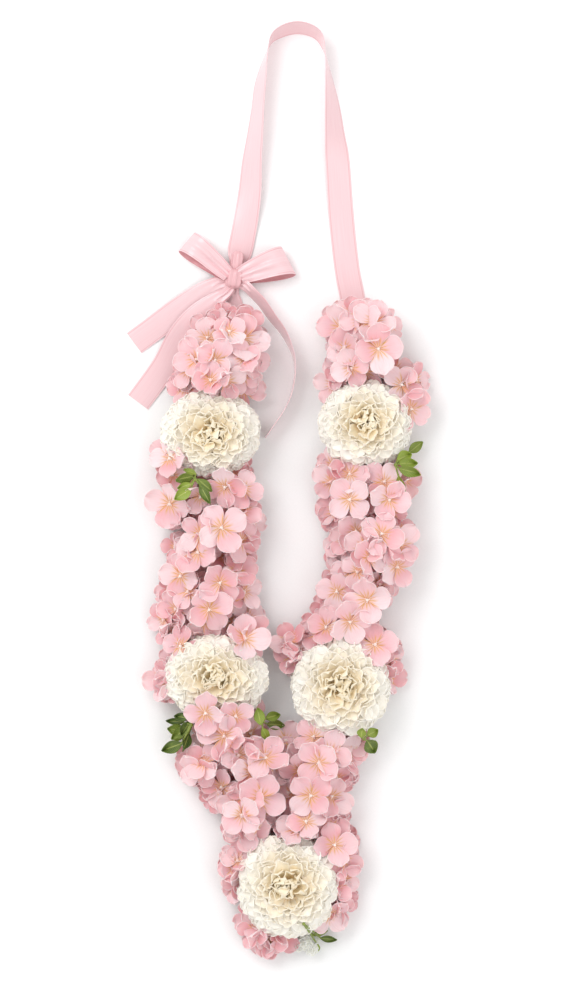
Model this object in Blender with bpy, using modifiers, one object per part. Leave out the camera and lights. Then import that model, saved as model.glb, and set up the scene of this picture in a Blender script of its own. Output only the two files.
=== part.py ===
"""Fresh flower lei, laid flat: a satin neck ribbon with a side bow, and two strands of hydrangea and
ivory blooms that meet in one pendant bloom.

Units are metres, +Z up.  The lei lies on the plane z = 0 with its length along Y, the bow and the neck
ribbon at +Y and the pendant bloom at -Y.  X and Y are measured from the middle of the whole lei.
"""

import math

import bmesh
import bpy
from mathutils import Matrix, Vector

MM = 0.001

# Ribbon
RIBBON_WIDTH = 16.0
RIBBON_THICKNESS = 0.5
RIBBON_LIFT = 0.25          # half the thickness: the ribbon's underside lies on the plane z = 0
ROWS_PER_STATION = 3        # rows of faces between two stations of a ribbon

# Knot of the bow
KNOT_CENTRE = (-26.2, 135.9)
KNOT_SIZE = (10.3, 13.0, 10.6)
KNOT_HEADING = 82.0         # direction of the strap through the knot, degrees
SLOT_SIZE = (9.0, 30.0, 1.4)
SLOT_HEIGHT = 1.5
HUMP_CENTRE = (-24.2, 147.2)
HUMP_SIZE = (7.6, 13.0, 6.4)
KNOT_ROUND = 2.6
HUMP_ROUND = 2.4
SLOT_ROUND = 0.3

# Ivory blooms
BLOOM_HEIGHT = 39.0
BLOOM_BASE = 0.9            # underside of a bloom: 0.4 mm over the ribbon
BLOOM_SIDES = 20
BLOOM_RINGS = 10
SCALLOP = 0.045             # depth of the petal scallops round a bloom, as a share of its radius

# Hydrangea sprigs
SPRIG_BASE = 0.8            # underside of a sprig: 0.3 mm over the ribbon
SPRIG_SIDES = 14
SPRIG_RINGS = 7
LOBE = 0.10                 # depth of the floret lobes round a sprig, as a share of its radius
BELLY = 0.28                # height of a sprig's widest ring, as a share of its height
FULLNESS = 0.6              # lower is fuller in the shoulders
CELL_SIZE = 400.0           # wider than any sprig
NEIGHBOURS = 120.0          # sprigs further apart than this never touch
BLOOM_REACH = 90.0          # nor does a bloom at this distance
GREENERY_REACH = 60.0
LOWEST_UNDER_TAILS = 60.0   # the bow's tails reach down to this Y
GAP = 0.3

# Stations of a ribbon: x, y, roll in degrees, share of the full width, height of the lower edge.
# Roll 0 lies flat and 90 stands on edge.
NECK_RIBBON = (
    (9.5, -243.0, 0, 1, 0), (16.0, -186.0, 0, 1, 0), (38.5, -128.0, 0, 1, 0), (45.0, -70.0, 0, 1, 0),
    (48.5, -6.0, 0, 1, 0), (56.0, 50.0, 0, 1, 0), (51.3, 113.3, 0, 1, 0), (46.5, 142.1, 0, 1, 0),
    (42.8, 176.0, 2, 1, 0), (40.4, 210.6, 15, 1, 0), (38.7, 227.8, 37, 1, 0), (37.2, 245.1, 53, 1, 0),
    (35.1, 262.4, 71, 1, 0), (32.3, 280.3, 90, 1, 0), (27.3, 292.6, 110, 1, 0), (14.7, 297.0, 116, 1, 0),
    (1.9, 293.0, 110, 1, 0), (-4.1, 284.2, 90, 1, 0), (-9.0, 262.4, 65, 1, 0), (-10.9, 245.1, 60, 1, 0),
    (-12.7, 227.8, 50, 1, 0), (-14.7, 210.6, 38, 1, 0), (-16.2, 190.1, 22, 1, 0), (-19.6, 168.0, 5, 1, 0),
    (-22.7, 152.3, 0, 0.96, 0.4), (-24.9, 144.6, 0, 0.52, 1.2), (-25.7, 139.0, 0, 0.5, 1.25),
    (-26.6, 132.8, 0, 0.5, 1.25), (-27.3, 126.6, 0, 0.52, 1.1), (-28.0, 118.4, 0, 0.95, 0.1),
    (-32.0, 98.0, 0, 1, 0), (-40.0, 58.0, 0, 1, 0), (-44.6, -6.0, 0, 1, 0), (-43.0, -60.0, 0, 1, 0),
    (-40.7, -96.0, 0, 1, 0), (-31.8, -147.0, 0, 1, 0), (-9.0, -190.0, 0, 1, 0), (4.0, -215.0, 0, 1, 0.2),
    (8.5, -240.0, 0, 1, 0.9),
)
UPPER_LEFT_TAIL = (
    (-29.5, 135.6, 0, 0.5, 3.2), (-37.5, 132.6, 0, 0.62, 2.8), (-48.0, 126.0, 0, 0.85, 2.4),
    (-62.0, 115.6, 0, 1, 1.6), (-76.0, 105.2, 0, 1, 0.6), (-90.4, 94.6, 0, 1, 0),
)
LOWER_LEFT_TAIL = (
    (-27.6, 131.6, 0, 0.4, 4.8), (-31.0, 127.0, 0, 0.45, 4.8), (-36.0, 123.4, 0, 0.6, 4.9),
    (-45.5, 116.0, 0, 0.85, 4.9), (-54.4, 107.6, 0, 0.95, 4.4), (-62.4, 96.6, 0, 1, 3.2),
    (-71.6, 79.0, 0, 1, 1.0), (-87.9, 56.6, 0, 1, 0),
)
RIGHT_TAIL = (
    (-23.4, 134.4, 20, 0.5, 3.6), (-18.0, 130.6, 45, 0.55, 3.0), (-13.4, 126.0, 55, 0.75, 1.4),
    (-7.8, 119.9, 58, 0.9, 0.7), (-1.7, 111.0, 62, 1, 0.2), (5.3, 101.8, 66, 1, 0),
    (10.3, 91.5, 74, 1, 0), (12.8, 82.2, 84, 1, 0), (12.9, 73.3, 86, 1, 0), (10.4, 60.8, 88, 1, 0),
    (5.7, 50.6, 90, 1, 0), (-0.4, 41.6, 90, 1, 0), (-6.0, 33.4, 90, 1, 0),
)

# Loops of the bow: root and fold (x, y), width at the root and at the fold, and the slant of the fold
# line from square, in degrees.
LEFT_LOOP = {"root": (-29.0, 137.6), "fold": (-56.6, 159.4), "widths": (10.0, 15.6), "slant": -2.0}
RIGHT_LOOP = {"root": (-23.0, 137.4), "fold": (8.9, 147.3), "widths": (12.0, 20.0), "slant": 10.0}
LOOP_HEIGHT = 6.8           # middle of a loop
LOOP_PINCH = 2.2            # half the space between its layers at the knot
LOOP_BELLY = 7.0            # half that space part-way out

# Ivory blooms: x, y, half width along X and along Y
BLOOMS = {
    "ivory_bloom_left_upper": (-41.1, 36.2, 34.2, 29.0),
    "ivory_bloom_right_upper": (58.1, 42.2, 32.2, 29.2),
    "ivory_bloom_left_lower": (-37.2, -120.0, 35.4, 28.4),
    "ivory_bloom_right_lower": (42.2, -125.6, 34.2, 33.6),
    "ivory_bloom_pendant": (8.2, -252.5, 34.8, 34.8),
}

# Hydrangea sprigs: x, y, half width along X and along Y, height
SPRIGS = {
    "left_top_sprig_1": (-30, 100, 27, 25, 30),
    "left_top_sprig_2": (-37, 77, 33, 24, 33),
    "left_middle_sprig_1": (-45, 8, 35, 26, 31),
    "left_middle_sprig_2": (-44, -14, 35, 24, 34),
    "left_middle_sprig_3": (-42, -38, 34, 24, 36),
    "left_middle_sprig_4": (-43, -63, 35, 24, 35),
    "left_middle_sprig_5": (-42, -88, 36, 24, 30),
    "left_bloom_side_sprig": (-63, -120, 19, 17, 20),
    "pendant_left_sprig_1": (-30, -147, 28, 24, 34),
    "pendant_left_sprig_2": (-34, -171, 32, 24, 34),
    "pendant_left_sprig_3": (-23, -193, 28, 22, 33),
    "pendant_left_sprig_4": (-17, -214, 21, 18, 30),
    "right_top_sprig_1": (52, 103, 26, 24, 33),
    "right_top_sprig_2": (55, 79, 26, 22, 34),
    "right_bloom_side_sprig": (80, 63, 18, 18, 24),
    "right_middle_sprig_1": (58, 8, 32, 24, 30),
    "right_middle_sprig_2": (56, -13, 31, 24, 33),
    "right_middle_sprig_3": (59, -36, 32, 24, 36),
    "right_middle_sprig_4": (54, -60, 29, 24, 34),
    "right_middle_sprig_5": (42, -86, 28, 24, 30),
    "left_of_right_bloom_sprig": (16, -106, 17, 18, 24),
    "right_of_right_bloom_sprig": (66, -107, 19, 22, 25),
    "pendant_right_sprig_1": (37, -163, 26, 22, 33),
    "pendant_right_sprig_2": (29, -184, 27, 22, 35),
    "pendant_right_sprig_3": (30, -205, 22, 20, 31),
    "pendant_centre_sprig": (2, -178, 22, 24, 33),
    "collar_top_sprig": (11, -217, 19, 18, 30),
    "collar_right_sprig_1": (40, -230, 17, 20, 27),
    "collar_right_sprig_2": (38, -260, 17, 20, 18),
    "collar_bottom_sprig": (-6, -281, 20, 19.5, 18),
    "collar_left_sprig": (-22, -243, 16, 20, 19),
}

# Greenery: x and y of the stem end, then its leaves.
# A leaf: x and y of its base, x and y of its tip, width.  It lies on the sprig below it.
GREENERY = {
    "greenery_left_upper": ((-51, 5), (
        (-52, 8, -63, 6, 8.0), (-53, 3, -62, 1, 3.6), (-53, -1, -64, -6, 6.4), (-49, 5, -40, 0, 5.0),
        (-48, 2, -41, -7, 4.6))),
    "greenery_right_upper": ((77, 16), (
        (78, 19, 87, 23, 7.2), (79, 17, 91, 17, 5.6), (79, 14, 93, 10, 6.0), (79, 9, 82, -6, 5.2))),
    "greenery_left_lower": ((-53, -150), (
        (-58, -154, -69, -153, 6.4), (-59, -148, -69, -148, 3.0), (-60, -159, -66, -159, 3.0),
        (-61, -163, -72, -167, 6.4))),
    "greenery_left_lower_inner": ((-8, -148), (
        (-9, -150, -11, -139, 6.0), (-6, -146, 3, -144, 5.0), (-5, -150, 6, -151, 5.2))),
    "greenery_right_lower": ((57, -159), (
        (59, -157, 66, -154, 5.6), (59, -160, 64, -168, 7.8))),
}
FILLER_FLOWER = ((18.5, -276.5), (
    (29, -288, 40, -289, 3.4), (27, -291, 26, -298, 4.6)))
FILLER_HEADS = ((19.6, -290.2, 5.6, 5.0), (22.8, -294.4, 5.0, 4.0))
LEAF_REST = 9.0             # height of a leaf that lies past the edge of a sprig
LEAF_OVER = 1.5             # middle of a leaf over the sprig that it lies on
FILLER_REST = 3.0
STEM_END_RADIUS = 1.6
LEAF_THICKNESS = 0.9
LEAF_OUTLINE = ((0.0, 0.16), (0.22, 0.7), (0.5, 1.0), (0.78, 0.66), (1.0, 0.06))
STEM_RADIUS = 0.9

# Colours, linear RGB
SATIN = (0.87, 0.62, 0.65)
SATIN_SHADE = (0.78, 0.50, 0.52)
IVORY = (0.93, 0.86, 0.70)
PINK = (0.90, 0.52, 0.56)
OLIVE = (0.27, 0.36, 0.06)
WHITE_GREEN = (0.72, 0.76, 0.50)


# ---------------------------------------------------------------- scene and objects

def clear_scene():
    """Remove whatever the scene holds."""
    for thing in list(bpy.data.objects):
        bpy.data.objects.remove(thing, do_unlink=True)


def new_collection(name):
    """Make a collection in the scene."""
    collection = bpy.data.collections.new(name)
    bpy.context.scene.collection.children.link(collection)
    return collection


def new_material(name, colour, roughness):
    """Make a Principled material."""
    material = bpy.data.materials.new(name)
    material.use_nodes = True
    shader = material.node_tree.nodes["Principled BSDF"]
    shader.inputs["Base Color"].default_value = (*colour, 1.0)
    shader.inputs["Roughness"].default_value = roughness
    shader.inputs["Metallic"].default_value = 0.0
    return material


def mesh_from(bm, name):
    """Write a bmesh into a new mesh and free it."""
    mesh = bpy.data.meshes.new(name)
    bm.to_mesh(mesh)
    bm.free()
    return mesh


def place(collection, name, mesh, colour, roughness):
    """Add a finished sub-part, with its own material, to the lei."""
    mesh.materials.clear()
    mesh.materials.append(new_material(name + "_finish", colour, roughness))
    part = bpy.data.objects.new(name, mesh)
    collection.objects.link(part)
    return part


def millimetres(x, y, z=0.0):
    """A point given in millimetres, as a vector in metres."""
    return Vector((x * MM, y * MM, z * MM))


# ---------------------------------------------------------------- joining and cutting

def combine(base, others, operation):
    """Boolean one mesh with a list of meshes and return the result as a new mesh.

    The thin petals meet at such flat angles that the exact solver leaves open edges, so every joint and
    cut here uses the manifold solver.
    """
    body = bpy.data.objects.new("body", base)
    bpy.context.scene.collection.objects.link(body)
    tools = bpy.data.collections.new("tools")
    for mesh in others:
        tools.objects.link(bpy.data.objects.new("tool", mesh))
    modifier = body.modifiers.new("combine", "BOOLEAN")
    modifier.operation = operation
    modifier.solver = "MANIFOLD"
    modifier.operand_type = "COLLECTION"
    modifier.collection = tools
    bpy.context.view_layer.update()
    evaluated = body.evaluated_get(bpy.context.evaluated_depsgraph_get())
    result = bpy.data.meshes.new_from_object(evaluated)
    for tool in list(tools.objects):
        bpy.data.objects.remove(tool, do_unlink=True)
    bpy.data.collections.remove(tools)
    bpy.data.objects.remove(body, do_unlink=True)
    return result


def islands(bm):
    """Lists of the faces of each separate body."""
    seen = set()
    bodies = []
    for start in bm.faces:
        if start in seen:
            continue
        seen.add(start)
        body = [start]
        for face in body:
            for edge in face.edges:
                fresh = [f for f in edge.link_faces if f not in seen]
                seen.update(fresh)
                body.extend(fresh)
        bodies.append(body)
    return bodies


def keep_largest(mesh):
    """Drop the offcuts that a cut leaves."""
    bm = bmesh.new()
    bm.from_mesh(mesh)
    bmesh.ops.triangulate(bm, faces=bm.faces)
    bodies = islands(bm)
    largest = max(bodies, key=lambda faces: sum(face.calc_area() for face in faces))
    offcuts = [face for body in bodies if body is not largest for face in body]
    bmesh.ops.delete(bm, geom=offcuts, context="FACES")
    return mesh_from(bm, mesh.name)


# ---------------------------------------------------------------- shapes

def smooth_path(stations):
    """Points of a Catmull-Rom curve through the stations, with their other values carried along."""
    rows = []
    last = len(stations) - 1
    for i in range(last):
        before = stations[max(i - 1, 0)]
        after = stations[min(i + 2, last)]
        for step in range(ROWS_PER_STATION):
            t = step / ROWS_PER_STATION
            rows.append([spline(before[k], stations[i][k], stations[i + 1][k], after[k], t)
                         for k in range(len(stations[0]))])
    rows.append(list(stations[last]))
    return rows


def spline(a, b, c, d, t):
    """Value of a Catmull-Rom curve between b and c."""
    slope = c - a
    bend = 2 * a - 5 * b + 4 * c - d
    twist = 3 * b - a - 3 * c + d
    return b + 0.5 * (slope * t + bend * t ** 2 + twist * t ** 3)


def sheet_mesh(points, thickness):
    """A closed strip through rows of points, made by Solidify on a grid."""
    rows = len(points)
    columns = len(points[0])
    bm = bmesh.new()
    bmesh.ops.create_grid(bm, x_segments=rows - 1, y_segments=columns - 1, size=1.0)
    for vert in bm.verts:
        row = round((vert.co.x + 1.0) / 2.0 * (rows - 1))
        column = round((vert.co.y + 1.0) / 2.0 * (columns - 1))
        vert.co = points[row][column]
    strip = bpy.data.objects.new("strip", mesh_from(bm, "strip"))
    bpy.context.scene.collection.objects.link(strip)
    solid = strip.modifiers.new("thickness", "SOLIDIFY")
    solid.thickness = thickness
    solid.offset = 0.0
    bpy.context.view_layer.update()
    mesh = bpy.data.meshes.new_from_object(strip.evaluated_get(bpy.context.evaluated_depsgraph_get()))
    bpy.data.objects.remove(strip, do_unlink=True)
    return mesh


def ribbon_mesh(stations, grow=0.0):
    """A ribbon along its stations, rolled about its own path, or a cutter that much larger all round."""
    rows = smooth_path(stations)
    points = []
    for i, (x, y, roll, share, lift) in enumerate(rows):
        ahead = rows[min(i + 1, len(rows) - 1)]
        behind = rows[max(i - 1, 0)]
        heading = Vector((ahead[0] - behind[0], ahead[1] - behind[1], 0.0)).normalized()
        outward = Vector((heading.y, -heading.x, 0.0))
        angle = math.radians(roll)
        half = 0.5 * RIBBON_WIDTH * share
        reach = half + grow
        across = (math.cos(angle) * -outward + math.sin(angle) * Vector((0.0, 0.0, 1.0))) * reach
        height = half * abs(math.sin(angle)) + RIBBON_LIFT * abs(math.cos(angle)) + lift
        middle = Vector((x, y, height))
        points.append([(middle - across) * MM, (middle + across) * MM])
    return sheet_mesh(points, (RIBBON_THICKNESS + 2.0 * grow) * MM)


def loop_mesh(root, fold, widths, slant, grow=0.0):
    """One loop of the bow: out along its back layer, round the fold, and home along the front layer."""
    root = Vector((root[0], root[1], 0.0))
    fold = Vector((fold[0], fold[1], 0.0))
    along = (fold - root).normalized()
    reach = (fold - root).length
    square = Vector((-along.y, along.x, 0.0))
    square.rotate(Matrix.Rotation(math.radians(slant), 3, "Z"))
    steps = 14
    points = []
    for i in range(steps + 1):
        s = i / steps
        out = math.sin(math.pi * s) ** 0.7
        apart = LOOP_PINCH + (LOOP_BELLY - LOOP_PINCH) * math.sin(2.0 * math.pi * s) ** 2
        height = LOOP_HEIGHT - apart * math.cos(math.pi * s)
        width = widths[0] + (widths[1] - widths[0]) * out + 2.0 * grow
        middle = root + along * reach * out + Vector((0.0, 0.0, height))
        points.append([(middle - square * width * 0.5) * MM, (middle + square * width * 0.5) * MM])
    return sheet_mesh(points, (RIBBON_THICKNESS + 2.0 * grow) * MM)


def lens_mesh(rim, crown, apex):
    """A thin closed plate with the given rim, from a cone with its point down.

    The rim is a list of points, crown the middle of its upper side and apex the middle of its underside.
    """
    bm = bmesh.new()
    bmesh.ops.create_cone(bm, cap_ends=True, cap_tris=True, segments=len(rim),
                          radius1=0.0, radius2=1.0, depth=1.0)
    bmesh.ops.remove_doubles(bm, verts=bm.verts, dist=0.0001)
    for vert in bm.verts:
        if vert.co.z < 0.0:
            vert.co = apex
        elif vert.co.xy.length < 0.5:
            vert.co = crown
        else:
            turn = math.atan2(vert.co.y, vert.co.x) % (2.0 * math.pi)
            vert.co = rim[round(turn / (2.0 * math.pi) * len(rim)) % len(rim)]
    bmesh.ops.recalc_face_normals(bm, faces=bm.faces)
    return mesh_from(bm, "lens")


def rod_mesh(start, end, start_radius, end_radius, sides=3):
    """A tapered stalk between two points."""
    axis = end - start
    bm = bmesh.new()
    bmesh.ops.create_cone(bm, cap_ends=True, cap_tris=False, segments=sides,
                          radius1=start_radius, radius2=end_radius, depth=axis.length)
    turn = axis.to_track_quat("Z", "Y").to_matrix().to_4x4()
    bmesh.ops.transform(bm, matrix=Matrix.Translation((start + end) / 2.0) @ turn, verts=bm.verts)
    return mesh_from(bm, "rod")


def ball_mesh(centre, radius):
    """A small rounded stem end."""
    bm = bmesh.new()
    bmesh.ops.create_icosphere(bm, subdivisions=1, radius=radius, matrix=Matrix.Translation(centre))
    return mesh_from(bm, "ball")


# ---------------------------------------------------------------- ribbon and bow

def rounded_block(centre, size, heading, bevel):
    """A block with rounded edges, turned to a heading."""
    bm = bmesh.new()
    bmesh.ops.create_cube(bm, size=1.0)
    bmesh.ops.scale(bm, vec=Vector(size) * MM, verts=bm.verts)
    bmesh.ops.bevel(bm, geom=bm.edges[:] + bm.verts[:], offset=bevel * MM, segments=3, profile=0.5,
                    affect="EDGES")
    turn = Matrix.Rotation(math.radians(heading - 90.0), 4, "Z")
    bmesh.ops.transform(bm, matrix=Matrix.Translation(centre) @ turn, verts=bm.verts)
    bmesh.ops.triangulate(bm, faces=bm.faces)
    return mesh_from(bm, "block")


def knot_blocks(grow=0.0):
    """The wrap of the knot and the flap above it, or cutters that much larger all round."""
    wrap_size = [side + 2.0 * grow for side in KNOT_SIZE]
    hump_size = [side + 2.0 * grow for side in HUMP_SIZE]
    hump_height = SLOT_HEIGHT + SLOT_SIZE[2] / 2.0 + GAP + HUMP_SIZE[2] / 2.0
    wrap = rounded_block(millimetres(*KNOT_CENTRE, KNOT_SIZE[2] / 2.0), wrap_size, KNOT_HEADING, KNOT_ROUND)
    hump = rounded_block(millimetres(*HUMP_CENTRE, hump_height), hump_size, KNOT_HEADING, HUMP_ROUND)
    return wrap, hump


def knot_mesh():
    """The knot: a rounded wrap and the flap above it, with a slot that the neck ribbon runs through."""
    wrap, hump = knot_blocks()
    slot = rounded_block(millimetres(*KNOT_CENTRE, SLOT_HEIGHT), SLOT_SIZE, KNOT_HEADING, SLOT_ROUND)
    joined = combine(wrap, [hump], "UNION")
    return keep_largest(combine(joined, [slot, ribbon_mesh(NECK_RIBBON, GAP)], "DIFFERENCE"))


def build_ribbons(lei):
    """The neck ribbon and the six pieces of the bow, each clear of the pieces before it."""
    place(lei, "neck_ribbon", ribbon_mesh(NECK_RIBBON), SATIN, 0.35)
    place(lei, "bow_knot", knot_mesh(), SATIN_SHADE, 0.35)
    shapes = {
        "bow_left_loop": lambda grow: loop_mesh(**LEFT_LOOP, grow=grow),
        "bow_right_loop": lambda grow: loop_mesh(**RIGHT_LOOP, grow=grow),
        "bow_lower_left_tail": lambda grow: ribbon_mesh(LOWER_LEFT_TAIL, grow),
        "bow_upper_left_tail": lambda grow: ribbon_mesh(UPPER_LEFT_TAIL, grow),
        "bow_right_tail": lambda grow: ribbon_mesh(RIGHT_TAIL, grow),
    }
    earlier = [lambda grow: ribbon_mesh(NECK_RIBBON, grow)]
    for name, shape in shapes.items():
        mesh = combine(shape(0.0), knot_blocks(GAP), "DIFFERENCE")
        for other in earlier:
            mesh = combine(mesh, [other(GAP)], "DIFFERENCE")
        place(lei, name, keep_largest(mesh), SATIN, 0.35)
        earlier.append(shape)


# ---------------------------------------------------------------- ivory blooms

def bloom_outline(share):
    """Radius and height of a bloom's side view, from its underside (0) to its crown (1)."""
    angle = math.pi * (share - 0.5)
    radius = math.cos(angle) ** 0.72
    height = 0.5 + 0.5 * math.sin(angle) * (1.0 - 0.08 * math.cos(angle))
    return radius, height


def bloom_mesh(x, y, half_x, half_y, grow=0.0):
    """A full ball of petals: a closed round form with a scallop for each petal of each tier."""
    bm = bmesh.new()
    bmesh.ops.create_uvsphere(bm, u_segments=BLOOM_SIDES, v_segments=BLOOM_RINGS, radius=1.0)
    for vert in bm.verts:
        polar = math.acos(max(-1.0, min(1.0, -vert.co.z)))
        ring = round(polar / math.pi * BLOOM_RINGS)
        radius, height = bloom_outline(ring / BLOOM_RINGS)
        turn = math.atan2(vert.co.y, vert.co.x)
        side = round(turn / (2.0 * math.pi) * BLOOM_SIDES)
        scallop = 1.0 - SCALLOP * (1.0 if (side + ring) % 2 else 0.0)
        wide = radius * scallop
        vert.co.x = (x + math.cos(turn) * wide * (half_x + grow)) * MM
        vert.co.y = (y + math.sin(turn) * wide * (half_y + grow)) * MM
        vert.co.z = (BLOOM_BASE + height * BLOOM_HEIGHT + grow * (2.0 * height - 1.0)) * MM
    bmesh.ops.triangulate(bm, faces=bm.faces)
    return mesh_from(bm, "bloom")


def build_blooms(lei):
    """The five ivory blooms."""
    for name, (x, y, half_x, half_y) in BLOOMS.items():
        place(lei, name, bloom_mesh(x, y, half_x, half_y), IVORY, 0.6)


# ---------------------------------------------------------------- hydrangea sprigs

def sprig_dome(x, y, half_x, half_y, height):
    """A head of florets as one closed low dome with a lobe for each floret round it."""
    bm = bmesh.new()
    bmesh.ops.create_uvsphere(bm, u_segments=SPRIG_SIDES, v_segments=SPRIG_RINGS, radius=1.0)
    for vert in bm.verts:
        ring = round(math.acos(max(-1.0, min(1.0, -vert.co.z))) / math.pi * SPRIG_RINGS)
        angle = math.pi * (ring / SPRIG_RINGS - 0.5)
        turn = math.atan2(vert.co.y, vert.co.x)
        side = round(turn / (2.0 * math.pi) * SPRIG_SIDES)
        wide = math.cos(angle) ** FULLNESS * (1.0 - LOBE * ((side + ring) % 2))
        vert.co.x = (x + math.cos(turn) * wide * half_x) * MM
        vert.co.y = (y + math.sin(turn) * wide * half_y) * MM
        vert.co.z = (SPRIG_BASE + height * dome_rise(math.sin(angle))) * MM
    bmesh.ops.triangulate(bm, faces=bm.faces)
    return mesh_from(bm, "dome")


def dome_rise(sine):
    """Height on a sprig's side view, as a share of its height, from the sine of the angle there."""
    if sine > 0.0:
        return BELLY + (1.0 - BELLY) * sine
    return BELLY * (1.0 + sine)


def height_over_sprigs(x, y, rest):
    """Height of the sprigs' upper side at a point, or the height given where no sprig lies."""
    height = rest
    for sprig_x, sprig_y, half_x, half_y, sprig_height in SPRIGS.values():
        out = math.hypot((x - sprig_x) / half_x, (y - sprig_y) / half_y)
        if out < 1.0:
            sine = math.sqrt(1.0 - out ** (2.0 / FULLNESS))
            height = max(height, SPRIG_BASE + sprig_height * dome_rise(sine))
    return height


def cell_mesh(name):
    """The upright cell nearer to one sprig's middle than to any other's, less half the gap."""
    x, y = SPRIGS[name][:2]
    own = Vector((x, y, 0.0))
    bm = bmesh.new()
    bmesh.ops.create_cube(bm, size=CELL_SIZE)
    bmesh.ops.translate(bm, vec=own, verts=bm.verts)
    for other, (other_x, other_y, *_) in SPRIGS.items():
        away = Vector((other_x, other_y, 0.0)) - own
        if other == name or away.length > NEIGHBOURS:
            continue
        wall = own + away / 2.0 - away.normalized() * GAP / 2.0
        geometry = bm.verts[:] + bm.edges[:] + bm.faces[:]
        bmesh.ops.bisect_plane(bm, geom=geometry, plane_co=wall, plane_no=away, clear_outer=True)
        open_edges = [edge for edge in bm.edges if edge.is_boundary]
        bmesh.ops.contextual_create(bm, geom=open_edges)
    bmesh.ops.recalc_face_normals(bm, faces=bm.faces)
    bmesh.ops.scale(bm, vec=(MM, MM, MM), verts=bm.verts)
    return mesh_from(bm, "cell")


def nearby_blooms(x, y):
    """Cutters for the blooms that a piece at x, y might touch."""
    return [bloom_mesh(*bloom, grow=GAP) for bloom in BLOOMS.values()
            if math.hypot(bloom[0] - x, bloom[1] - y) < BLOOM_REACH]


def nearby_greenery(x, y):
    """Cutters for the greenery that a sprig at x, y might touch."""
    cutters = []
    for seat_xy, leaves in GREENERY.values():
        if math.hypot(seat_xy[0] - x, seat_xy[1] - y) < GREENERY_REACH:
            cutters.extend(leafy_stem(seat_xy, leaves, LEAF_REST, GAP))
    if math.hypot(FILLER_FLOWER[0][0] - x, FILLER_FLOWER[0][1] - y) < GREENERY_REACH:
        cutters.extend(filler_pieces(GAP))
    return cutters


def tails_over_sprigs(y):
    """Cutters for the bow's tails, which lie on the topmost sprigs."""
    if y < LOWEST_UNDER_TAILS:
        return []
    return [ribbon_mesh(tail, GAP) for tail in (UPPER_LEFT_TAIL, LOWER_LEFT_TAIL, RIGHT_TAIL)]


def build_sprigs(lei):
    """Every hydrangea sprig, clear of its neighbours, the blooms, the bow and the greenery."""
    for name, sizes in SPRIGS.items():
        place_xy = sizes[:2]
        inside = combine(sprig_dome(*sizes), [cell_mesh(name)], "INTERSECT")
        cutters = nearby_blooms(*place_xy) + nearby_greenery(*place_xy) + tails_over_sprigs(sizes[1])
        for cutter in cutters:
            inside = combine(inside, [cutter], "DIFFERENCE")
        place(lei, name, keep_largest(inside), PINK, 0.55)


# ---------------------------------------------------------------- greenery

def leaf_mesh(base, tip, width, grow=0.0):
    """A leaf blade between its base and its tip."""
    along = tip - base
    across = along.cross(Vector((0.0, 0.0, 1.0))).normalized() * (width / 2.0 + grow)
    left = [base + along * t + across * w for t, w in LEAF_OUTLINE]
    right = [base + along * t - across * w for t, w in reversed(LEAF_OUTLINE)]
    middle = base + along * 0.5
    rise = Vector((0.0, 0.0, LEAF_THICKNESS / 2.0 + grow))
    rim = [point * MM for point in left + right]
    return lens_mesh(rim, (middle + rise) * MM, (middle - rise) * MM)


def leafy_stem(seat_xy, leaves, rest, grow=0.0):
    """Stem end, stalks and leaves of one sprig of greenery, or cutters that much larger all round."""
    seat = Vector((*seat_xy, height_over_sprigs(*seat_xy, rest) + STEM_END_RADIUS + GAP))
    pieces = [ball_mesh(seat * MM, (STEM_END_RADIUS + grow) * MM)]
    for base_x, base_y, tip_x, tip_y, width in leaves:
        base = Vector((base_x, base_y, height_over_sprigs(base_x, base_y, rest) + LEAF_OVER))
        tip = Vector((tip_x, tip_y, height_over_sprigs(tip_x, tip_y, rest) + LEAF_OVER))
        root = base + (tip - base) * 0.12
        pieces.append(leaf_mesh(base, tip, width, grow))
        pieces.append(rod_mesh(seat * MM, root * MM, (STEM_RADIUS + 2.0 * grow) * MM,
                               (0.6 * STEM_RADIUS + 2.0 * grow) * MM))
    return pieces


def filler_pieces(grow=0.0):
    """Stem end, leaves, stalks and flower heads of the filler, or cutters that much larger all round."""
    pieces = leafy_stem(*FILLER_FLOWER, FILLER_REST, grow)
    seat = Vector((*FILLER_FLOWER[0], FILLER_REST + STEM_END_RADIUS + GAP))
    for x, y, z, radius in FILLER_HEADS:
        head = millimetres(x, y, z)
        pieces.append(ball_mesh(head, (radius + grow) * MM))
        pieces.append(rod_mesh(seat * MM, head, (STEM_RADIUS + grow) * MM, (STEM_RADIUS + grow) * MM))
    return pieces


def build_greenery(lei):
    """The sprigs of green leaves tucked in beside the blooms, and the white filler flower."""
    for name, (seat_xy, leaves) in GREENERY.items():
        first, *others = leafy_stem(seat_xy, leaves, LEAF_REST)
        mesh = combine(combine(first, others, "UNION"), nearby_blooms(*seat_xy), "DIFFERENCE")
        place(lei, name, keep_largest(mesh), OLIVE, 0.5)
    first, *others = filler_pieces()
    mesh = combine(combine(first, others, "UNION"), nearby_blooms(*FILLER_FLOWER[0]), "DIFFERENCE")
    place(lei, "filler_flower_sprig", keep_largest(mesh), WHITE_GREEN, 0.6)


def centre_on_origin(lei):
    """Move the lei so that the middle of its box is over the origin and its underside is at z = 0."""
    corners = [vert.co for part in lei.objects for vert in part.data.vertices]
    low = Vector([min(point[axis] for point in corners) for axis in range(3)])
    high = Vector([max(point[axis] for point in corners) for axis in range(3)])
    middle = (low + high) / 2.0
    shift = Matrix.Translation((-middle.x, -middle.y, -low.z))
    for part in lei.objects:
        part.data.transform(shift)


def main():
    """Build the lei."""
    clear_scene()
    lei = new_collection("fresh_flower_lei")
    build_ribbons(lei)
    build_blooms(lei)
    build_sprigs(lei)
    build_greenery(lei)
    centre_on_origin(lei)


main()
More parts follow.
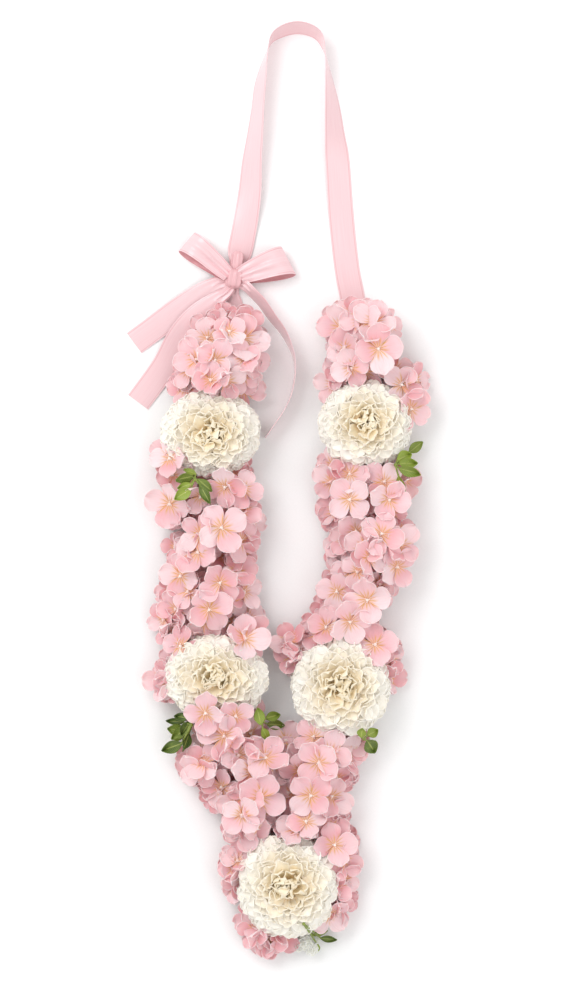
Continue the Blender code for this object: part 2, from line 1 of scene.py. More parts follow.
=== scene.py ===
"""Fresh flower lei, laid flat: the looks of its petals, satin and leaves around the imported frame.

Every piece stands for one node of the frame.  Places are in millimetres from the lei's own working point
and are moved onto the frame with the pendant bloom's box.  The lei lies on z = 0 with its length along Y.
"""

import logging
import math
from dataclasses import dataclass, replace
from enum import Enum
from typing import Any, Sequence

import bpy
import numpy as np
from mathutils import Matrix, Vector
from mathutils.bvhtree import BVHTree


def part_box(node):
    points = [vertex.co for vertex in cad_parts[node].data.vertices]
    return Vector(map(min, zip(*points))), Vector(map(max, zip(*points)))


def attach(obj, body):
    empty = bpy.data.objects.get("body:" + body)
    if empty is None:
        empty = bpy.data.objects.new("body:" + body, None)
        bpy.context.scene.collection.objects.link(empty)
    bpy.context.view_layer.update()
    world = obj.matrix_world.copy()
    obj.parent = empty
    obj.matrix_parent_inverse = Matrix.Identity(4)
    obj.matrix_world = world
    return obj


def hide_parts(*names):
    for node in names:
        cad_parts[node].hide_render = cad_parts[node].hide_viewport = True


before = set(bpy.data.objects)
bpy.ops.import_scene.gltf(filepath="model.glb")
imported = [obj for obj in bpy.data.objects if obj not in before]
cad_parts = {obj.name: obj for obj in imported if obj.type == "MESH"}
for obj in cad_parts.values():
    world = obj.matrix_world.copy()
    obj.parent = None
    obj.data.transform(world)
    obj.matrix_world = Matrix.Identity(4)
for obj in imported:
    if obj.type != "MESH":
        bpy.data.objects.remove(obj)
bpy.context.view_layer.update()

LOG = logging.getLogger("lei")
MM = 0.001
GOLDEN_ANGLE = math.radians(137.508)
PENDANT_PLACE = (8.2, -252.5)       # the pendant bloom's middle in the working frame
BLOOM_BASE = 0.9                    # underside of the blooms over the table
PETAL_UV = "PetalUV"
TINT = "Tint"

# A floret: x, y and height of its eye, the way it leans, how far it leans, the turn of its first petal in
# degrees, and the reach of its petals.
FLORETS: dict[str, tuple[tuple[float, ...], ...]] = {
    "left_top_sprig_1": (
        (-43, 97, 20, 110, 30, 100, 15), (-33, 105, 13, 90, 25, 45, 13), (-29, 101, 25, 95, 25, 220, 13),
        (-20, 97, 22, 50, 30, 85, 17)),
    "left_top_sprig_2": (
        (-20, 84, 27, 60, 20, 115, 13), (-15, 83, 19, 0, 35, 345, 14), (-31, 70, 31, 285, 45, 20, 14),
        (-20, 74, 24, 310, 35, 60, 13), (-20, 65, 15, 335, 35, 350, 17), (-38, 83, 32, 250, 10, 50, 16),
        (-50, 83, 26, 140, 25, 105, 17), (-55, 76, 19, 190, 40, 150, 13), (-41, 70, 33, 80, 15, 100, 14),
        (-57, 66, 14, 190, 30, 175, 15)),
    "left_middle_sprig_1": (
        (-70, 24, 13, 150, 35, 150, 13), (-67, 20, 24, 160, 25, 175, 15), (-61, 17, 21, 230, 30, 110, 13),
        (-60, 4, 14, 185, 35, 160, 16), (-32, 2, 29, 270, 20, 95, 15), (-20, 1, 24, 20, 30, 75, 14)),
    "left_middle_sprig_2": (
        (-67, -9, 21, 185, 25, 165, 16), (-54, -11, 15, 240, 25, 210, 15), (-48, -4, 24, 300, 30, 320, 14),
        (-34, -8, 16, 250, 20, 45, 15), (-22, -13, 21, 50, 30, 60, 15), (-16, -20, 15, 5, 40, 350, 14),
        (-34, -24, 35, 0, 5, 25, 17.5)),
    "left_middle_sprig_3": (
        (-22, -32, 22, 340, 35, 335, 16), (-22, -42, 15, 310, 40, 250, 13),
        (-48, -28, 27, 200, 30, 130, 15), (-43, -35, 22, 270, 35, 300, 12),
        (-49, -40, 27, 150, 25, 155, 16.5), (-58, -44, 16, 180, 40, 170, 15),
        (-32, -43, 14, 90, 20, 45, 14)),
    "left_middle_sprig_4": (
        (-60, -55, 23, 190, 25, 170, 16), (-55, -65, 26, 170, 30, 155, 13), (-51, -68, 14, 250, 20, 100, 14),
        (-66, -64, 12, 200, 40, 200, 14), (-35, -59, 34, 280, 15, 125, 16), (-28, -72, 22, 320, 30, 330, 13),
        (-20, -65, 18, 0, 35, 25, 15), (-24, -52, 18, 40, 30, 30, 14)),
    "left_middle_sprig_5": (
        (-42, -76, 31, 290, 25, 300, 17), (-63, -76, 19, 200, 40, 195, 14), (-71, -83, 12, 205, 45, 205, 13),
        (-53, -74, 19, 300, 40, 270, 14), (-62, -88, 14, 270, 35, 255, 13), (-60, -100, 22, 150, 30, 165, 14),
        (-66, -92, 13, 150, 40, 120, 13), (-51, -93, 12, 90, 30, 90, 13), (-19, -95, 27, 60, 25, 85, 16.5),
        (-13, -93, 18, 0, 40, 350, 15), (-30, -84, 13, 45, 20, 45, 14), (-45, -84, 21, 260, 30, 215, 15),
        (-17, -83, 13, 50, 35, 40, 14)),
    "left_bloom_side_sprig": (
        (-71, -122, 14, 180, 30, 180, 14), (-67, -111, 12, 190, 45, 120, 11)),
    "pendant_left_sprig_1": (
        (-44, -142, 36, 240, 20, 180, 15), (-25, -144, 34, 280, 20, 35, 14),
        (-32, -157, 31, 200, 15, 170, 17.5), (-16, -156, 17, 0, 40, 0, 14)),
    "pendant_left_sprig_2": (
        (-45, -174, 24, 160, 20, 140, 15), (-50, -176, 14, 190, 40, 175, 15),
        (-48, -179, 22, 230, 30, 215, 14), (-41, -179, 18, 250, 20, 290, 14),
        (-27, -163, 31, 320, 55, 225, 15), (-23, -169, 30, 250, 15, 200, 14),
        (-18, -168, 27, 330, 30, 315, 14)),
    "pendant_left_sprig_3": (
        (-34, -190, 20, 210, 20, 165, 15), (-39, -197, 12, 200, 45, 205, 12),
        (-15, -180, 30, 330, 20, 340, 16), (-18, -196, 29, 150, 20, 150, 14),
        (-9, -196, 30, 300, 15, 330, 17.5)),
    "pendant_left_sprig_4": (
        (-24, -202, 23, 200, 25, 170, 15.5), (-21, -207, 32, 260, 20, 225, 15),
        (-18, -216, 21, 235, 30, 190, 16), (-11, -216, 24, 290, 30, 290, 10),
        (-9, -208, 22, 330, 25, 330, 12)),
    "right_top_sprig_1": (
        (55, 108, 27, 120, 20, 100, 15), (63, 107, 30, 60, 20, 65, 15.5), (73, 105, 17, 20, 40, 20, 12),
        (42, 104, 20, 175, 30, 180, 16), (49, 95, 18, 120, 15, 45, 14), (45, 91, 24, 160, 30, 120, 14)),
    "right_top_sprig_2": (
        (66, 90, 35, 0, 8, 8, 17.5), (39, 90, 14, 180, 50, 185, 12), (49, 78, 28, 240, 15, 115, 15),
        (42, 77, 20, 180, 40, 165, 14), (38, 68, 15, 205, 40, 250, 14), (58, 76, 20, 275, 30, 200, 15)),
    "right_bloom_side_sprig": (
        (81, 67, 22, 40, 25, 55, 15), (90, 70, 13, 10, 45, 10, 13), (87, 52, 20, 0, 30, 60, 16),
        (77, 76, 15, 110, 25, 110, 14)),
    "right_middle_sprig_1": (
        (37, 16, 16, 150, 35, 170, 14), (48, 10, 25, 120, 20, 175, 15), (36, 5, 20, 190, 27, 141, 14),
        (70, 5, 27, 90, 15, 140, 15), (74, 13, 17, 60, 30, 60, 14), (83, 6, 11, 30, 40, 10, 14)),
    "right_middle_sprig_2": (
        (48, -6, 30, 230, 10, 130, 16), (39, -14, 13, 215, 40, 250, 14), (73, -6, 29, 330, 15, 340, 15),
        (59, -3, 21, 260, 20, 270, 13), (52, -26, 25, 270, 20, 55, 14)),
    "right_middle_sprig_3": (
        (68, -28, 33, 60, 10, 70, 16), (80, -35, 23, 0, 30, 50, 16), (81, -26, 13, 40, 45, 40, 11),
        (65, -38, 28, 300, 30, 15, 14), (44, -33, 16, 165, 40, 140, 14), (57, -37, 34, 90, 5, 60, 15),
        (60, -43, 36, 0, 35, 235, 14), (50, -44, 19, 175, 30, 170, 17.5)),
    "right_middle_sprig_4": (
        (78, -49, 24, 345, 25, 35, 15), (67, -60, 18, 300, 30, 320, 13), (53, -52, 27, 220, 20, 335, 13),
        (49, -52, 22, 190, 30, 185, 15), (40, -55, 12, 190, 45, 190, 13), (40, -65, 21, 190, 25, 165, 14),
        (47, -63, 13, 90, 15, 45, 14), (59, -70, 30, 270, 15, 100, 16.5)),
    "right_middle_sprig_5": (
        (33, -88, 22, 120, 20, 80, 14), (36, -76, 13, 155, 35, 165, 16), (48, -84, 28, 300, 20, 110, 16),
        (55, -87, 13, 20, 30, 30, 13), (29, -93, 16, 140, 35, 155, 16)),
    "left_of_right_bloom_sprig": (
        (13, -104, 15, 150, 25, 130, 14), (10, -97, 13, 130, 35, 110, 14)),
    "right_of_right_bloom_sprig": (
        (64, -99, 24, 60, 20, 10, 16), (73, -120, 11, 0, 50, 0, 13)),
    "pendant_right_sprig_1": (
        (25, -158, 24, 110, 20, 130, 15), (35, -168, 27, 0, 20, 340, 15.5), (47, -170, 16, 0, 40, 0, 15)),
    "pendant_right_sprig_2": (
        (19, -174, 22, 120, 15, 135, 16), (28, -174, 32, 270, 10, 45, 16), (39, -183, 16, 330, 40, 330, 15),
        (16, -179, 26, 270, 25, 265, 14)),
    "pendant_right_sprig_3": (
        (23, -195, 30, 250, 10, 315, 16), (36, -196, 20, 0, 25, 340, 15), (35, -205, 16, 320, 35, 310, 14),
        (20, -212, 27, 90, 25, 110, 14), (9, -194, 15, 200, 20, 200, 13)),
    "pendant_centre_sprig": (
        (-6, -171, 29, 60, 20, 60, 17), (1, -174, 21, 330, 20, 10, 15), (7, -161, 12, 90, 30, 60, 14),
        (5, -184, 17, 0, 15, 300, 14)),
    "collar_top_sprig": (
        (14, -217, 26, 90, 25, 155, 15.5), (7, -215, 20, 110, 30, 150, 13)),
    "collar_right_sprig_1": (
        (35, -217, 20, 30, 25, 5, 14), (38, -227, 24, 20, 20, 10, 16), (43, -237, 19, 0, 30, 330, 15)),
    "collar_right_sprig_2": (
        (44, -250, 14, 350, 35, 330, 13), (41, -262, 12, 335, 40, 345, 14),
        (35, -271, 17, 300, 30, 310, 15.5)),
    "collar_bottom_sprig": (
        (-4, -286, 14, 270, 30, 250, 15), (5, -287, 12, 300, 35, 320, 13), (-14, -276, 12, 220, 35, 200, 15)),
    "collar_left_sprig": (
        (-24, -237, 14, 165, 35, 160, 15), (-25, -255, 11, 190, 40, 190, 11)),
}

# A leaf: x and y of its base, x and y of its tip, its width.  The first pair is where the stems meet.
LEAVES: dict[str, tuple[tuple[float, float], tuple[tuple[float, ...], ...]]] = {
    "greenery_left_upper": ((-51, 7), (
        (-52, 9, -63, 6, 7.5), (-53, 4, -62, 1, 3.8), (-53, 1, -64, -6, 6.4), (-49, 7, -40, -1, 5.2),
        (-48, 4, -41, -9, 4.8), (-50, 10, -58, 13, 4.2))),
    "greenery_right_upper": ((77, 16), (
        (78, 19, 87, 23, 7.2), (79, 17, 91, 17, 5.6), (79, 14, 93, 10, 6.0), (79, 9, 82, -6, 5.2),
        (86, 24, 95, 31, 5.4))),
    "greenery_left_lower": ((-53, -150), (
        (-57, -155, -69, -153, 6.4), (-58, -149, -70, -148, 3.6), (-59, -159, -66, -159, 3.4),
        (-59, -162, -72, -167, 6.6), (-54, -148, -60, -157, 5.8), (-56, -152, -66, -160, 5.8),
        (-55, -156, -58, -166, 5.4), (-55, -146, -64, -145, 4.6))),
    "greenery_left_lower_inner": ((-8, -148), (
        (-9, -150, -11, -139, 6.0), (-6, -146, 3, -144, 5.2), (-5, -150, 6, -151, 5.4),
        (-8, -152, -4, -160, 4.6))),
    "greenery_right_lower": ((57, -159), (
        (59, -157, 66, -154, 5.6), (59, -160, 64, -168, 7.8), (55, -158, 56, -152, 5.0))),
}
FILLER_STEM = (18.5, -276.5)
FILLER_LEAVES = ((29, -288, 40, -289, 3.6), (27, -291, 26, -298, 4.6), (24, -286, 34, -283, 3.2))
# A filler head: x, y and height of its middle, and its radius
FILLER_HEADS = ((19.6, -290.2, 8.6, 5.4), (23.6, -294.8, 7.0, 4.4), (15.4, -293.0, 6.4, 4.0),
                (25.6, -289.0, 6.0, 3.2))

BLOOMS = ("ivory_bloom_left_upper", "ivory_bloom_right_upper", "ivory_bloom_left_lower",
          "ivory_bloom_right_lower", "ivory_bloom_pendant")

# Ribbon stations: x, y, roll in degrees, share of the full width, height of the lower edge
NECK_RIBBON = (
    (9.5, -243.0, 0, 1, 0), (16.0, -186.0, 0, 1, 0), (38.5, -128.0, 0, 1, 0), (45.0, -70.0, 0, 1, 0),
    (48.5, -6.0, 0, 1, 0), (56.0, 50.0, 0, 1, 0), (51.3, 113.3, 0, 1, 0), (46.5, 142.1, 0, 1, 0),
    (42.8, 176.0, 2, 1, 0), (40.4, 210.6, 15, 1, 0), (38.7, 227.8, 37, 1, 0), (37.2, 245.1, 53, 1, 0),
    (35.1, 262.4, 71, 1, 0), (32.3, 280.3, 90, 1, 0), (27.3, 292.6, 110, 1, 0), (14.7, 297.0, 116, 1, 0),
    (1.9, 293.0, 110, 1, 0), (-4.1, 284.2, 90, 1, 0), (-9.0, 262.4, 65, 1, 0), (-10.9, 245.1, 60, 1, 0),
    (-12.7, 227.8, 50, 1, 0), (-14.7, 210.6, 38, 1, 0), (-16.2, 190.1, 22, 1, 0), (-19.6, 168.0, 5, 1, 0),
    (-22.7, 152.3, 0, 0.96, 0.4), (-24.9, 144.6, 0, 0.52, 1.2), (-25.7, 139.0, 0, 0.5, 1.25),
    (-26.6, 132.8, 0, 0.5, 1.25), (-27.3, 126.6, 0, 0.52, 1.1), (-28.0, 118.4, 0, 0.95, 0.1),
    (-32.0, 98.0, 0, 1, 0), (-40.0, 58.0, 0, 1, 0), (-44.6, -6.0, 0, 1, 0), (-43.0, -60.0, 0, 1, 0),
    (-40.7, -96.0, 0, 1, 0), (-31.8, -147.0, 0, 1, 0), (-9.0, -190.0, 0, 1, 0), (4.0, -215.0, 0, 1, 0.2),
    (8.5, -240.0, 0, 1, 0.9),
)
TAILS: dict[str, tuple[tuple[float, ...], ...]] = {
    "bow_upper_left_tail": (
        (-30.5, 134.8, 0, 0.5, 3.2), (-37.5, 132.2, 0, 0.62, 2.8), (-48.0, 126.0, 0, 0.85, 2.4),
        (-62.0, 115.6, 0, 1, 1.6), (-76.0, 105.2, 0, 1, 0.6), (-90.4, 94.6, 0, 1, 0)),
    "bow_lower_left_tail": (
        (-28.2, 130.4, 0, 0.4, 4.8), (-31.0, 127.0, 0, 0.45, 4.8), (-36.0, 123.4, 0, 0.6, 4.9),
        (-45.5, 116.0, 0, 0.85, 4.9), (-54.4, 107.6, 0, 0.95, 4.4), (-62.4, 96.6, 0, 1, 3.2),
        (-71.6, 79.0, 0, 1, 1.0), (-87.9, 56.6, 0, 1, 0)),
    "bow_right_tail": (
        (-22.0, 133.4, 20, 0.5, 3.6), (-18.0, 130.6, 45, 0.55, 3.0), (-13.4, 126.0, 60, 0.75, 1.4),
        (-7.8, 119.9, 66, 0.9, 0.7), (-1.7, 111.0, 71, 1, 0.2), (5.3, 101.8, 75, 1, 0),
        (10.3, 91.5, 81, 1, 0), (12.8, 82.2, 86, 1, 0), (12.9, 73.3, 88, 1, 0), (10.4, 60.8, 88, 1, 0),
        (5.7, 50.6, 90, 1, 0), (-0.4, 41.6, 90, 1, 0), (-6.0, 33.4, 90, 1, 0)),
}


class Slot(Enum):
    """Names of material slots."""

    SATIN = "satin_ribbon"
    IVORY = "ivory_petals"
    PINK = "pink_petals"
    LEAF = "green_leaves"
    FILLER = "filler_petals"


class Rest(Enum):
    """How a length of ribbon is held."""

    LAID = "laid"
    FOLDED = "folded"


# ------------------------------------------------------------------ small tools

def linear(code: str) -> tuple[float, float, float, float]:
    """Turn an sRGB hex colour into linear RGBA.

    Args:
        code: the colour as "#RRGGBB".

    Returns:
        Linear red, green, blue and an alpha of 1.
    """
    channels = [int(code[i:i + 2], 16) / 255.0 for i in (1, 3, 5)]
    red, green, blue = [c / 12.92 if c <= 0.04045 else ((c + 0.055) / 1.055) ** 2.4 for c in channels]
    return red, green, blue, 1.0


def add_node(tree: bpy.types.NodeTree, kind: str, settings: dict[str, Any] | None = None,
             inputs: dict[Any, Any] | None = None) -> bpy.types.Node:
    """Add a node with its settings and links.

    Args:
        tree: the node tree that gets the node.
        kind: the node's type name.
        settings: attributes of the node itself.
        inputs: a value or an output socket for each input, by name or number.

    Returns:
        The new node.
    """
    node = tree.nodes.new(kind)
    for key, value in (settings or {}).items():
        setattr(node, key, value)
    for key, value in (inputs or {}).items():
        if isinstance(value, bpy.types.NodeSocket):
            tree.links.new(value, node.inputs[key])
        else:
            node.inputs[key].default_value = value
    return node


def blank_material(name: str) -> tuple[bpy.types.Material, bpy.types.NodeTree, bpy.types.Node]:
    """Make a material that holds only its Principled shader.

    Args:
        name: the material's name.

    Returns:
        The material, its node tree and the shader node.
    """
    material = bpy.data.materials.new(name)
    material.use_nodes = True
    return material, material.node_tree, material.node_tree.nodes["Principled BSDF"]


def mixed(tree: bpy.types.NodeTree, share: Any, low: Any, high: Any) -> bpy.types.NodeSocket:
    """Mix two colours.

    Args:
        tree: the node tree.
        share: how much of the second colour shows, as a number or a socket.
        low: the colour at share 0.
        high: the colour at share 1.

    Returns:
        The mixed colour's socket.
    """
    node = add_node(tree, "ShaderNodeMix", {"data_type": "RGBA"}, {0: share, 6: low, 7: high})
    return node.outputs[2]


def ranged(tree: bpy.types.NodeTree, value: Any, low: float, high: float,
           to: float = 1.0) -> bpy.types.NodeSocket:
    """Map a value smoothly from low..high onto 0..to.

    Args:
        tree: the node tree.
        value: the value's socket.
        low: where the result is 0.
        high: where the result is to.
        to: the largest result.

    Returns:
        The mapped value's socket.
    """
    node = add_node(tree, "ShaderNodeMapRange", {"interpolation_type": "SMOOTHSTEP"},
                    {"Value": value, "From Min": low, "From Max": high, "To Min": 0.0, "To Max": to})
    return node.outputs[0]


def calc(tree: bpy.types.NodeTree, operation: str, *values: Any) -> bpy.types.NodeSocket:
    """Do one step of arithmetic.

    Args:
        tree: the node tree.
        operation: the step's name.
        values: numbers or sockets.

    Returns:
        The result's socket.
    """
    node = add_node(tree, "ShaderNodeMath", {"operation": operation}, dict(enumerate(values)))
    return node.outputs[0]


def petal_coordinates(tree: bpy.types.NodeTree) -> tuple[bpy.types.NodeSocket, bpy.types.NodeSocket,
                                                         bpy.types.NodeSocket, bpy.types.NodeSocket]:
    """Give a petal's own coordinates and its tint.

    Args:
        tree: the node tree.

    Returns:
        Sockets of the place across (-1..1), the place along (0..1), the petal's depth in the flower (0 deep,
        1 at the front) and a number that differs from petal to petal.
    """
    uv = add_node(tree, "ShaderNodeUVMap", {"uv_map": PETAL_UV})
    split = add_node(tree, "ShaderNodeSeparateXYZ", None, {0: uv.outputs[0]})
    across = calc(tree, "MULTIPLY_ADD", split.outputs[0], 2.0, -1.0)
    tint = add_node(tree, "ShaderNodeAttribute", {"attribute_name": TINT})
    parts = add_node(tree, "ShaderNodeSeparateColor", None, {0: tint.outputs["Color"]})
    return across, split.outputs[1], parts.outputs[0], parts.outputs[1]


def veins(tree: bpy.types.NodeTree, across: float, along: float, detail: float = 3.0) -> bpy.types.NodeSocket:
    """Fine lines that run from a petal's base to its tip.

    Args:
        tree: the node tree.
        across: lines over the petal's width.
        along: how often a line changes over the petal's length.
        detail: octaves of the noise.

    Returns:
        The lines' height, about 0 to 1.
    """
    uv = add_node(tree, "ShaderNodeUVMap", {"uv_map": PETAL_UV})
    stretched = add_node(tree, "ShaderNodeVectorMath", {"operation": "MULTIPLY"},
                         {0: uv.outputs[0], 1: (across, along, 1.0)})
    noise = add_node(tree, "ShaderNodeTexNoise", None,
                     {"Vector": stretched.outputs[0], "Scale": 1.0, "Detail": detail})
    return noise.outputs[0]


# ------------------------------------------------------------------ finishes

@dataclass(frozen=True)
class PinkPetalFinish:
    """Fresh hydrangea petal: thin, matt and velvety, with light passing through it."""

    # Deep rose: painted shade on low florets, and also the veins and a random darker tone.
    deep: str = "#DC858D"
    body: str = "#F6BFC5"
    front: str = "#FDDFE1"
    rim: str = "#FFEFEE"
    heart: str = "#F3B9A4"
    streak: str = "#E3A14C"
    roughness: float = 0.46

    def build(self) -> bpy.types.Material:
        """Make the material: deep rose as painted shade on low florets, paler at the front and the rim,
        golden streaks at the eye.

        Returns:
            The material.
        """
        material, tree, shader = blank_material("hydrangea_petal_fresh")
        across, along, depth, vary = petal_coordinates(tree)
        lines = veins(tree, 16.0, 1.6)
        # Painted shade: the lower a floret's eye, the more of the deep rose its petals get.
        toned = mixed(tree, ranged(tree, depth, 0.0, 0.8), linear(self.deep), linear(self.body))
        lit = mixed(tree, ranged(tree, vary, 0.3, 1.0, 0.75), toned, linear(self.front))
        dimmed = mixed(tree, ranged(tree, vary, 0.3, 0.0, 0.38), lit, linear(self.deep))
        veined = mixed(tree, ranged(tree, lines, 0.5, 0.75, 0.2), dimmed, linear(self.deep))
        edge = calc(tree, "MAXIMUM", calc(tree, "ABSOLUTE", across), along)
        paler = mixed(tree, ranged(tree, along, 0.35, 1.0, 0.45), veined, linear(self.front))
        rimmed = mixed(tree, ranged(tree, edge, 0.93, 1.0, 0.45), paler, linear(self.rim))
        hearted = mixed(tree, ranged(tree, along, 0.36, 0.04, 0.7), rimmed, linear(self.heart))
        near = ranged(tree, along, 0.5, 0.12)
        streaks = calc(tree, "MULTIPLY", near, ranged(tree, veins(tree, 9.0, 0.7, 1.0), 0.47, 0.58, 0.95))
        colour = mixed(tree, streaks, hearted, linear(self.streak))
        tree.links.new(colour, shader.inputs["Base Color"])
        bump = add_node(tree, "ShaderNodeBump", None, {"Strength": 0.35, "Distance": 0.0004, "Height": lines})
        tree.links.new(bump.outputs[0], shader.inputs["Normal"])
        shader.inputs["Roughness"].default_value = self.roughness
        shader.inputs["Specular IOR Level"].default_value = 0.38
        shader.inputs["Sheen Weight"].default_value = 0.08
        shader.inputs["Subsurface Weight"].default_value = 0.3
        shader.inputs["Subsurface Radius"].default_value = (1.0, 0.5, 0.45)
        shader.inputs["Subsurface Scale"].default_value = 0.0025
        return material


@dataclass(frozen=True)
class IvoryPetalFinish:
    """Fresh ivory petal: thick, waxy white outside and creamy yellow at the heart."""

    outer: str = "#FEFAF1"
    middle: str = "#FDF1DB"
    heart: str = "#FAE8C2"
    # Gap: darker gold at each petal's foot, partly the heart's own gold and partly painted shade between
    # petals.
    gap: str = "#DDAE62"
    roughness: float = 0.5

    def build(self) -> bpy.types.Material:
        """Make the material: cream to white outwards, darker gold at each petal's foot, in part painted
        shade.

        Returns:
            The material.
        """
        material, tree, shader = blank_material("ivory_petal_fresh")
        across, along, outward, vary = petal_coordinates(tree)
        lines = veins(tree, 7.0, 0.9)
        warm = mixed(tree, ranged(tree, outward, 0.0, 0.4), linear(self.heart), linear(self.middle))
        white = mixed(tree, ranged(tree, outward, 0.3, 0.85), warm, linear(self.outer))
        inward = calc(tree, "MULTIPLY_ADD", outward, -0.85, 1.0)
        # Partly painted shade: petal feet, deepest at the heart, are mixed towards the darker gold.
        foot_gold_and_shade = calc(tree, "MULTIPLY", ranged(tree, along, 0.5, 0.0, 0.7), inward)
        foot = mixed(tree, foot_gold_and_shade, white, linear(self.gap))
        edge = calc(tree, "MAXIMUM", calc(tree, "ABSOLUTE", across), along)
        rimmed = mixed(tree, ranged(tree, edge, 0.6, 1.0, 0.4), foot, linear(self.outer))
        toned = mixed(tree, ranged(tree, vary, 0.4, 1.0, 0.12), rimmed, linear(self.heart))
        tree.links.new(toned, shader.inputs["Base Color"])
        bump = add_node(tree, "ShaderNodeBump", None, {"Strength": 0.12, "Distance": 0.0004, "Height": lines})
        tree.links.new(bump.outputs[0], shader.inputs["Normal"])
        shader.inputs["Roughness"].default_value = self.roughness
        shader.inputs["Specular IOR Level"].default_value = 0.35
        shader.inputs["Subsurface Weight"].default_value = 0.15
        shader.inputs["Subsurface Radius"].default_value = (1.0, 0.95, 0.85)
        shader.inputs["Subsurface Scale"].default_value = 0.001
        return material


@dataclass(frozen=True)
class SatinFinish:
    """Double-faced polyester satin ribbon: woven, smooth, with a soft shine and a fine woven selvedge."""

    face: str = "#F1CBCF"
    light: str = "#FBE4E6"
    # Shade: painted shade on the loops' back layers and the knot, and also the colour of the woven selvedge
    # lines.
    shade: str = "#D9979C"
    roughness: float = 0.24

    def build(self) -> bpy.types.Material:
        """Make the material; threads are really 0.1 mm apart and are drawn about 0.3 mm apart to show.

        Returns:
            The material.
        """
        material, tree, shader = blank_material("blush_satin_ribbon")
        across, _, inner, _ = petal_coordinates(tree)
        threads = veins(tree, 50.0, 0.6)
        cloth = mixed(tree, ranged(tree, threads, 0.35, 0.7, 0.25), linear(self.face), linear(self.light))
        side = calc(tree, "ABSOLUTE", across)
        stitched = calc(tree, "MULTIPLY", ranged(tree, side, 0.82, 0.86), ranged(tree, side, 0.92, 0.88))
        lined = mixed(tree, calc(tree, "MULTIPLY", stitched, 0.5), cloth, linear(self.shade))
        # Painted shade: the Tint's first channel mixes the satin towards the shade colour.
        deep = mixed(tree, inner, lined, linear(self.shade))
        tree.links.new(deep, shader.inputs["Base Color"])
        relief = calc(tree, "SUBTRACT", threads, stitched)
        bump = add_node(tree, "ShaderNodeBump", None,
                        {"Strength": 0.12, "Distance": 0.0002, "Height": relief})
        tree.links.new(bump.outputs[0], shader.inputs["Normal"])
        shader.inputs["Roughness"].default_value = self.roughness
        shader.inputs["Anisotropic"].default_value = 0.45
        shader.inputs["Sheen Weight"].default_value = 0.35
        shader.inputs["Sheen Roughness"].default_value = 0.35
        return material


@dataclass(frozen=True)
class LeafFinish:
    """Fresh leaf: slightly waxy, olive or dark green, with paler veins."""

    dark: str = "#2F4A1E"
    olive: str = "#8FA23A"
    vein: str = "#B9C069"
    roughness: float = 0.42

    def build(self) -> bpy.types.Material:
        """Make the material: each leaf has its own green, with a pale midrib.

        Returns:
            The material.
        """
        material, tree, shader = blank_material("fresh_leaf_waxy")
        across, along, _, vary = petal_coordinates(tree)
        body = mixed(tree, vary, linear(self.dark), linear(self.olive))
        patchy = mixed(tree, ranged(tree, veins(tree, 3.0, 3.0), 0.4, 0.75, 0.4), body, linear(self.olive))
        rib = ranged(tree, calc(tree, "ABSOLUTE", across), 0.16, 0.02, 0.7)
        slant = calc(tree, "ADD", along, calc(tree, "MULTIPLY", calc(tree, "ABSOLUTE", across), -0.35))
        waves = calc(tree, "SINE", calc(tree, "MULTIPLY", slant, 50.0))
        side_veins = ranged(tree, waves, 0.8, 1.0, 0.35)
        marks = calc(tree, "MAXIMUM", rib, side_veins)
        tree.links.new(mixed(tree, marks, patchy, linear(self.vein)), shader.inputs["Base Color"])
        bump = add_node(tree, "ShaderNodeBump", None, {"Strength": 0.4, "Distance": 0.0003, "Height": marks})
        tree.links.new(bump.outputs[0], shader.inputs["Normal"])
        shader.inputs["Roughness"].default_value = self.roughness
        shader.inputs["Specular IOR Level"].default_value = 0.5
        return material


@dataclass(frozen=True)
class PlainGrowthFinish:
    """Stalks, beads and other small grown things: matt, mottled between two near colours."""

    name: str
    low: str
    high: str
    roughness: float = 0.5

    def build(self) -> bpy.types.Material:
        """Make the material from a fine mottle about 1 mm across.

        Returns:
            The material.
        """
        material, tree, shader = blank_material(self.name)
        place = add_node(tree, "ShaderNodeTexCoord")
        noise = add_node(tree, "ShaderNodeTexNoise", None,
                         {"Vector": place.outputs["Object"], "Scale": 900.0, "Detail": 2.0})
        colour = mixed(tree, ranged(tree, noise.outputs[0], 0.35, 0.65), linear(self.low), linear(self.high))
        tree.links.new(colour, shader.inputs["Base Color"])
        shader.inputs["Roughness"].default_value = self.roughness
        return material


# ------------------------------------------------------------------ meshes of thin sheets

@dataclass(frozen=True)
class PetalForm:
    """The shape of one petal or leaf, as shares of its length unless said otherwise."""

    width: float
    foot: float = 0.18          # width at the base, as a share of the full width
    tip: float = 0.3            # width left at the tip, as a share of the full width
    fullness: float = 2.0       # 2 for a round tip, under 1 for a pointed one
    rounding: float = 0.08      # how far the tip's corners fall back
    widest: float = 0.66        # where along the petal it is widest
    rise: float = 0.1           # lift of the tip
    hollow: float = 0.1         # lift of the long edges
    ruffle: float = 0.03        # waves of the rim
    waves: float = 2.2
    rows: int = 7
    columns: int = 7

    def grid(self, length: float, phase: float) -> np.ndarray:
        """Work out the petal's points, across along X, out along Y and up along Z.

        Args:
            length: the petal's length in metres.
            phase: where the ruffle starts, in radians.

        Returns:
            An array of rows x columns x 3.
        """
        levels = np.sin(0.5 * np.pi * np.linspace(0.0, 1.0, self.rows))
        v, u = np.meshgrid(levels, np.linspace(-1.0, 1.0, self.columns), indexing="ij")
        spread = self.foot + (1.0 - self.foot) * np.sin(0.5 * np.pi * np.clip(v / self.widest, 0.0, 1.0))
        closing = np.clip((v - self.widest) / (1.0 - self.widest), 0.0, 1.0)
        kept = 1.0 - (1.0 - self.tip ** self.fullness) * closing ** 2
        half = 0.5 * self.width * spread * kept ** (1.0 / self.fullness)
        out = v * (1.0 - self.rounding * u ** 2 * v ** 2)
        wave = np.sin(phase + self.waves * np.pi * u) + 0.6 * np.sin(2.0 * phase + self.waves * 4.1 * v * u)
        up = self.rise * v ** 2 + self.hollow * u ** 2 * v + self.ruffle * wave * v ** 1.5
        return np.stack([half * u, out, up], axis=-1) * length


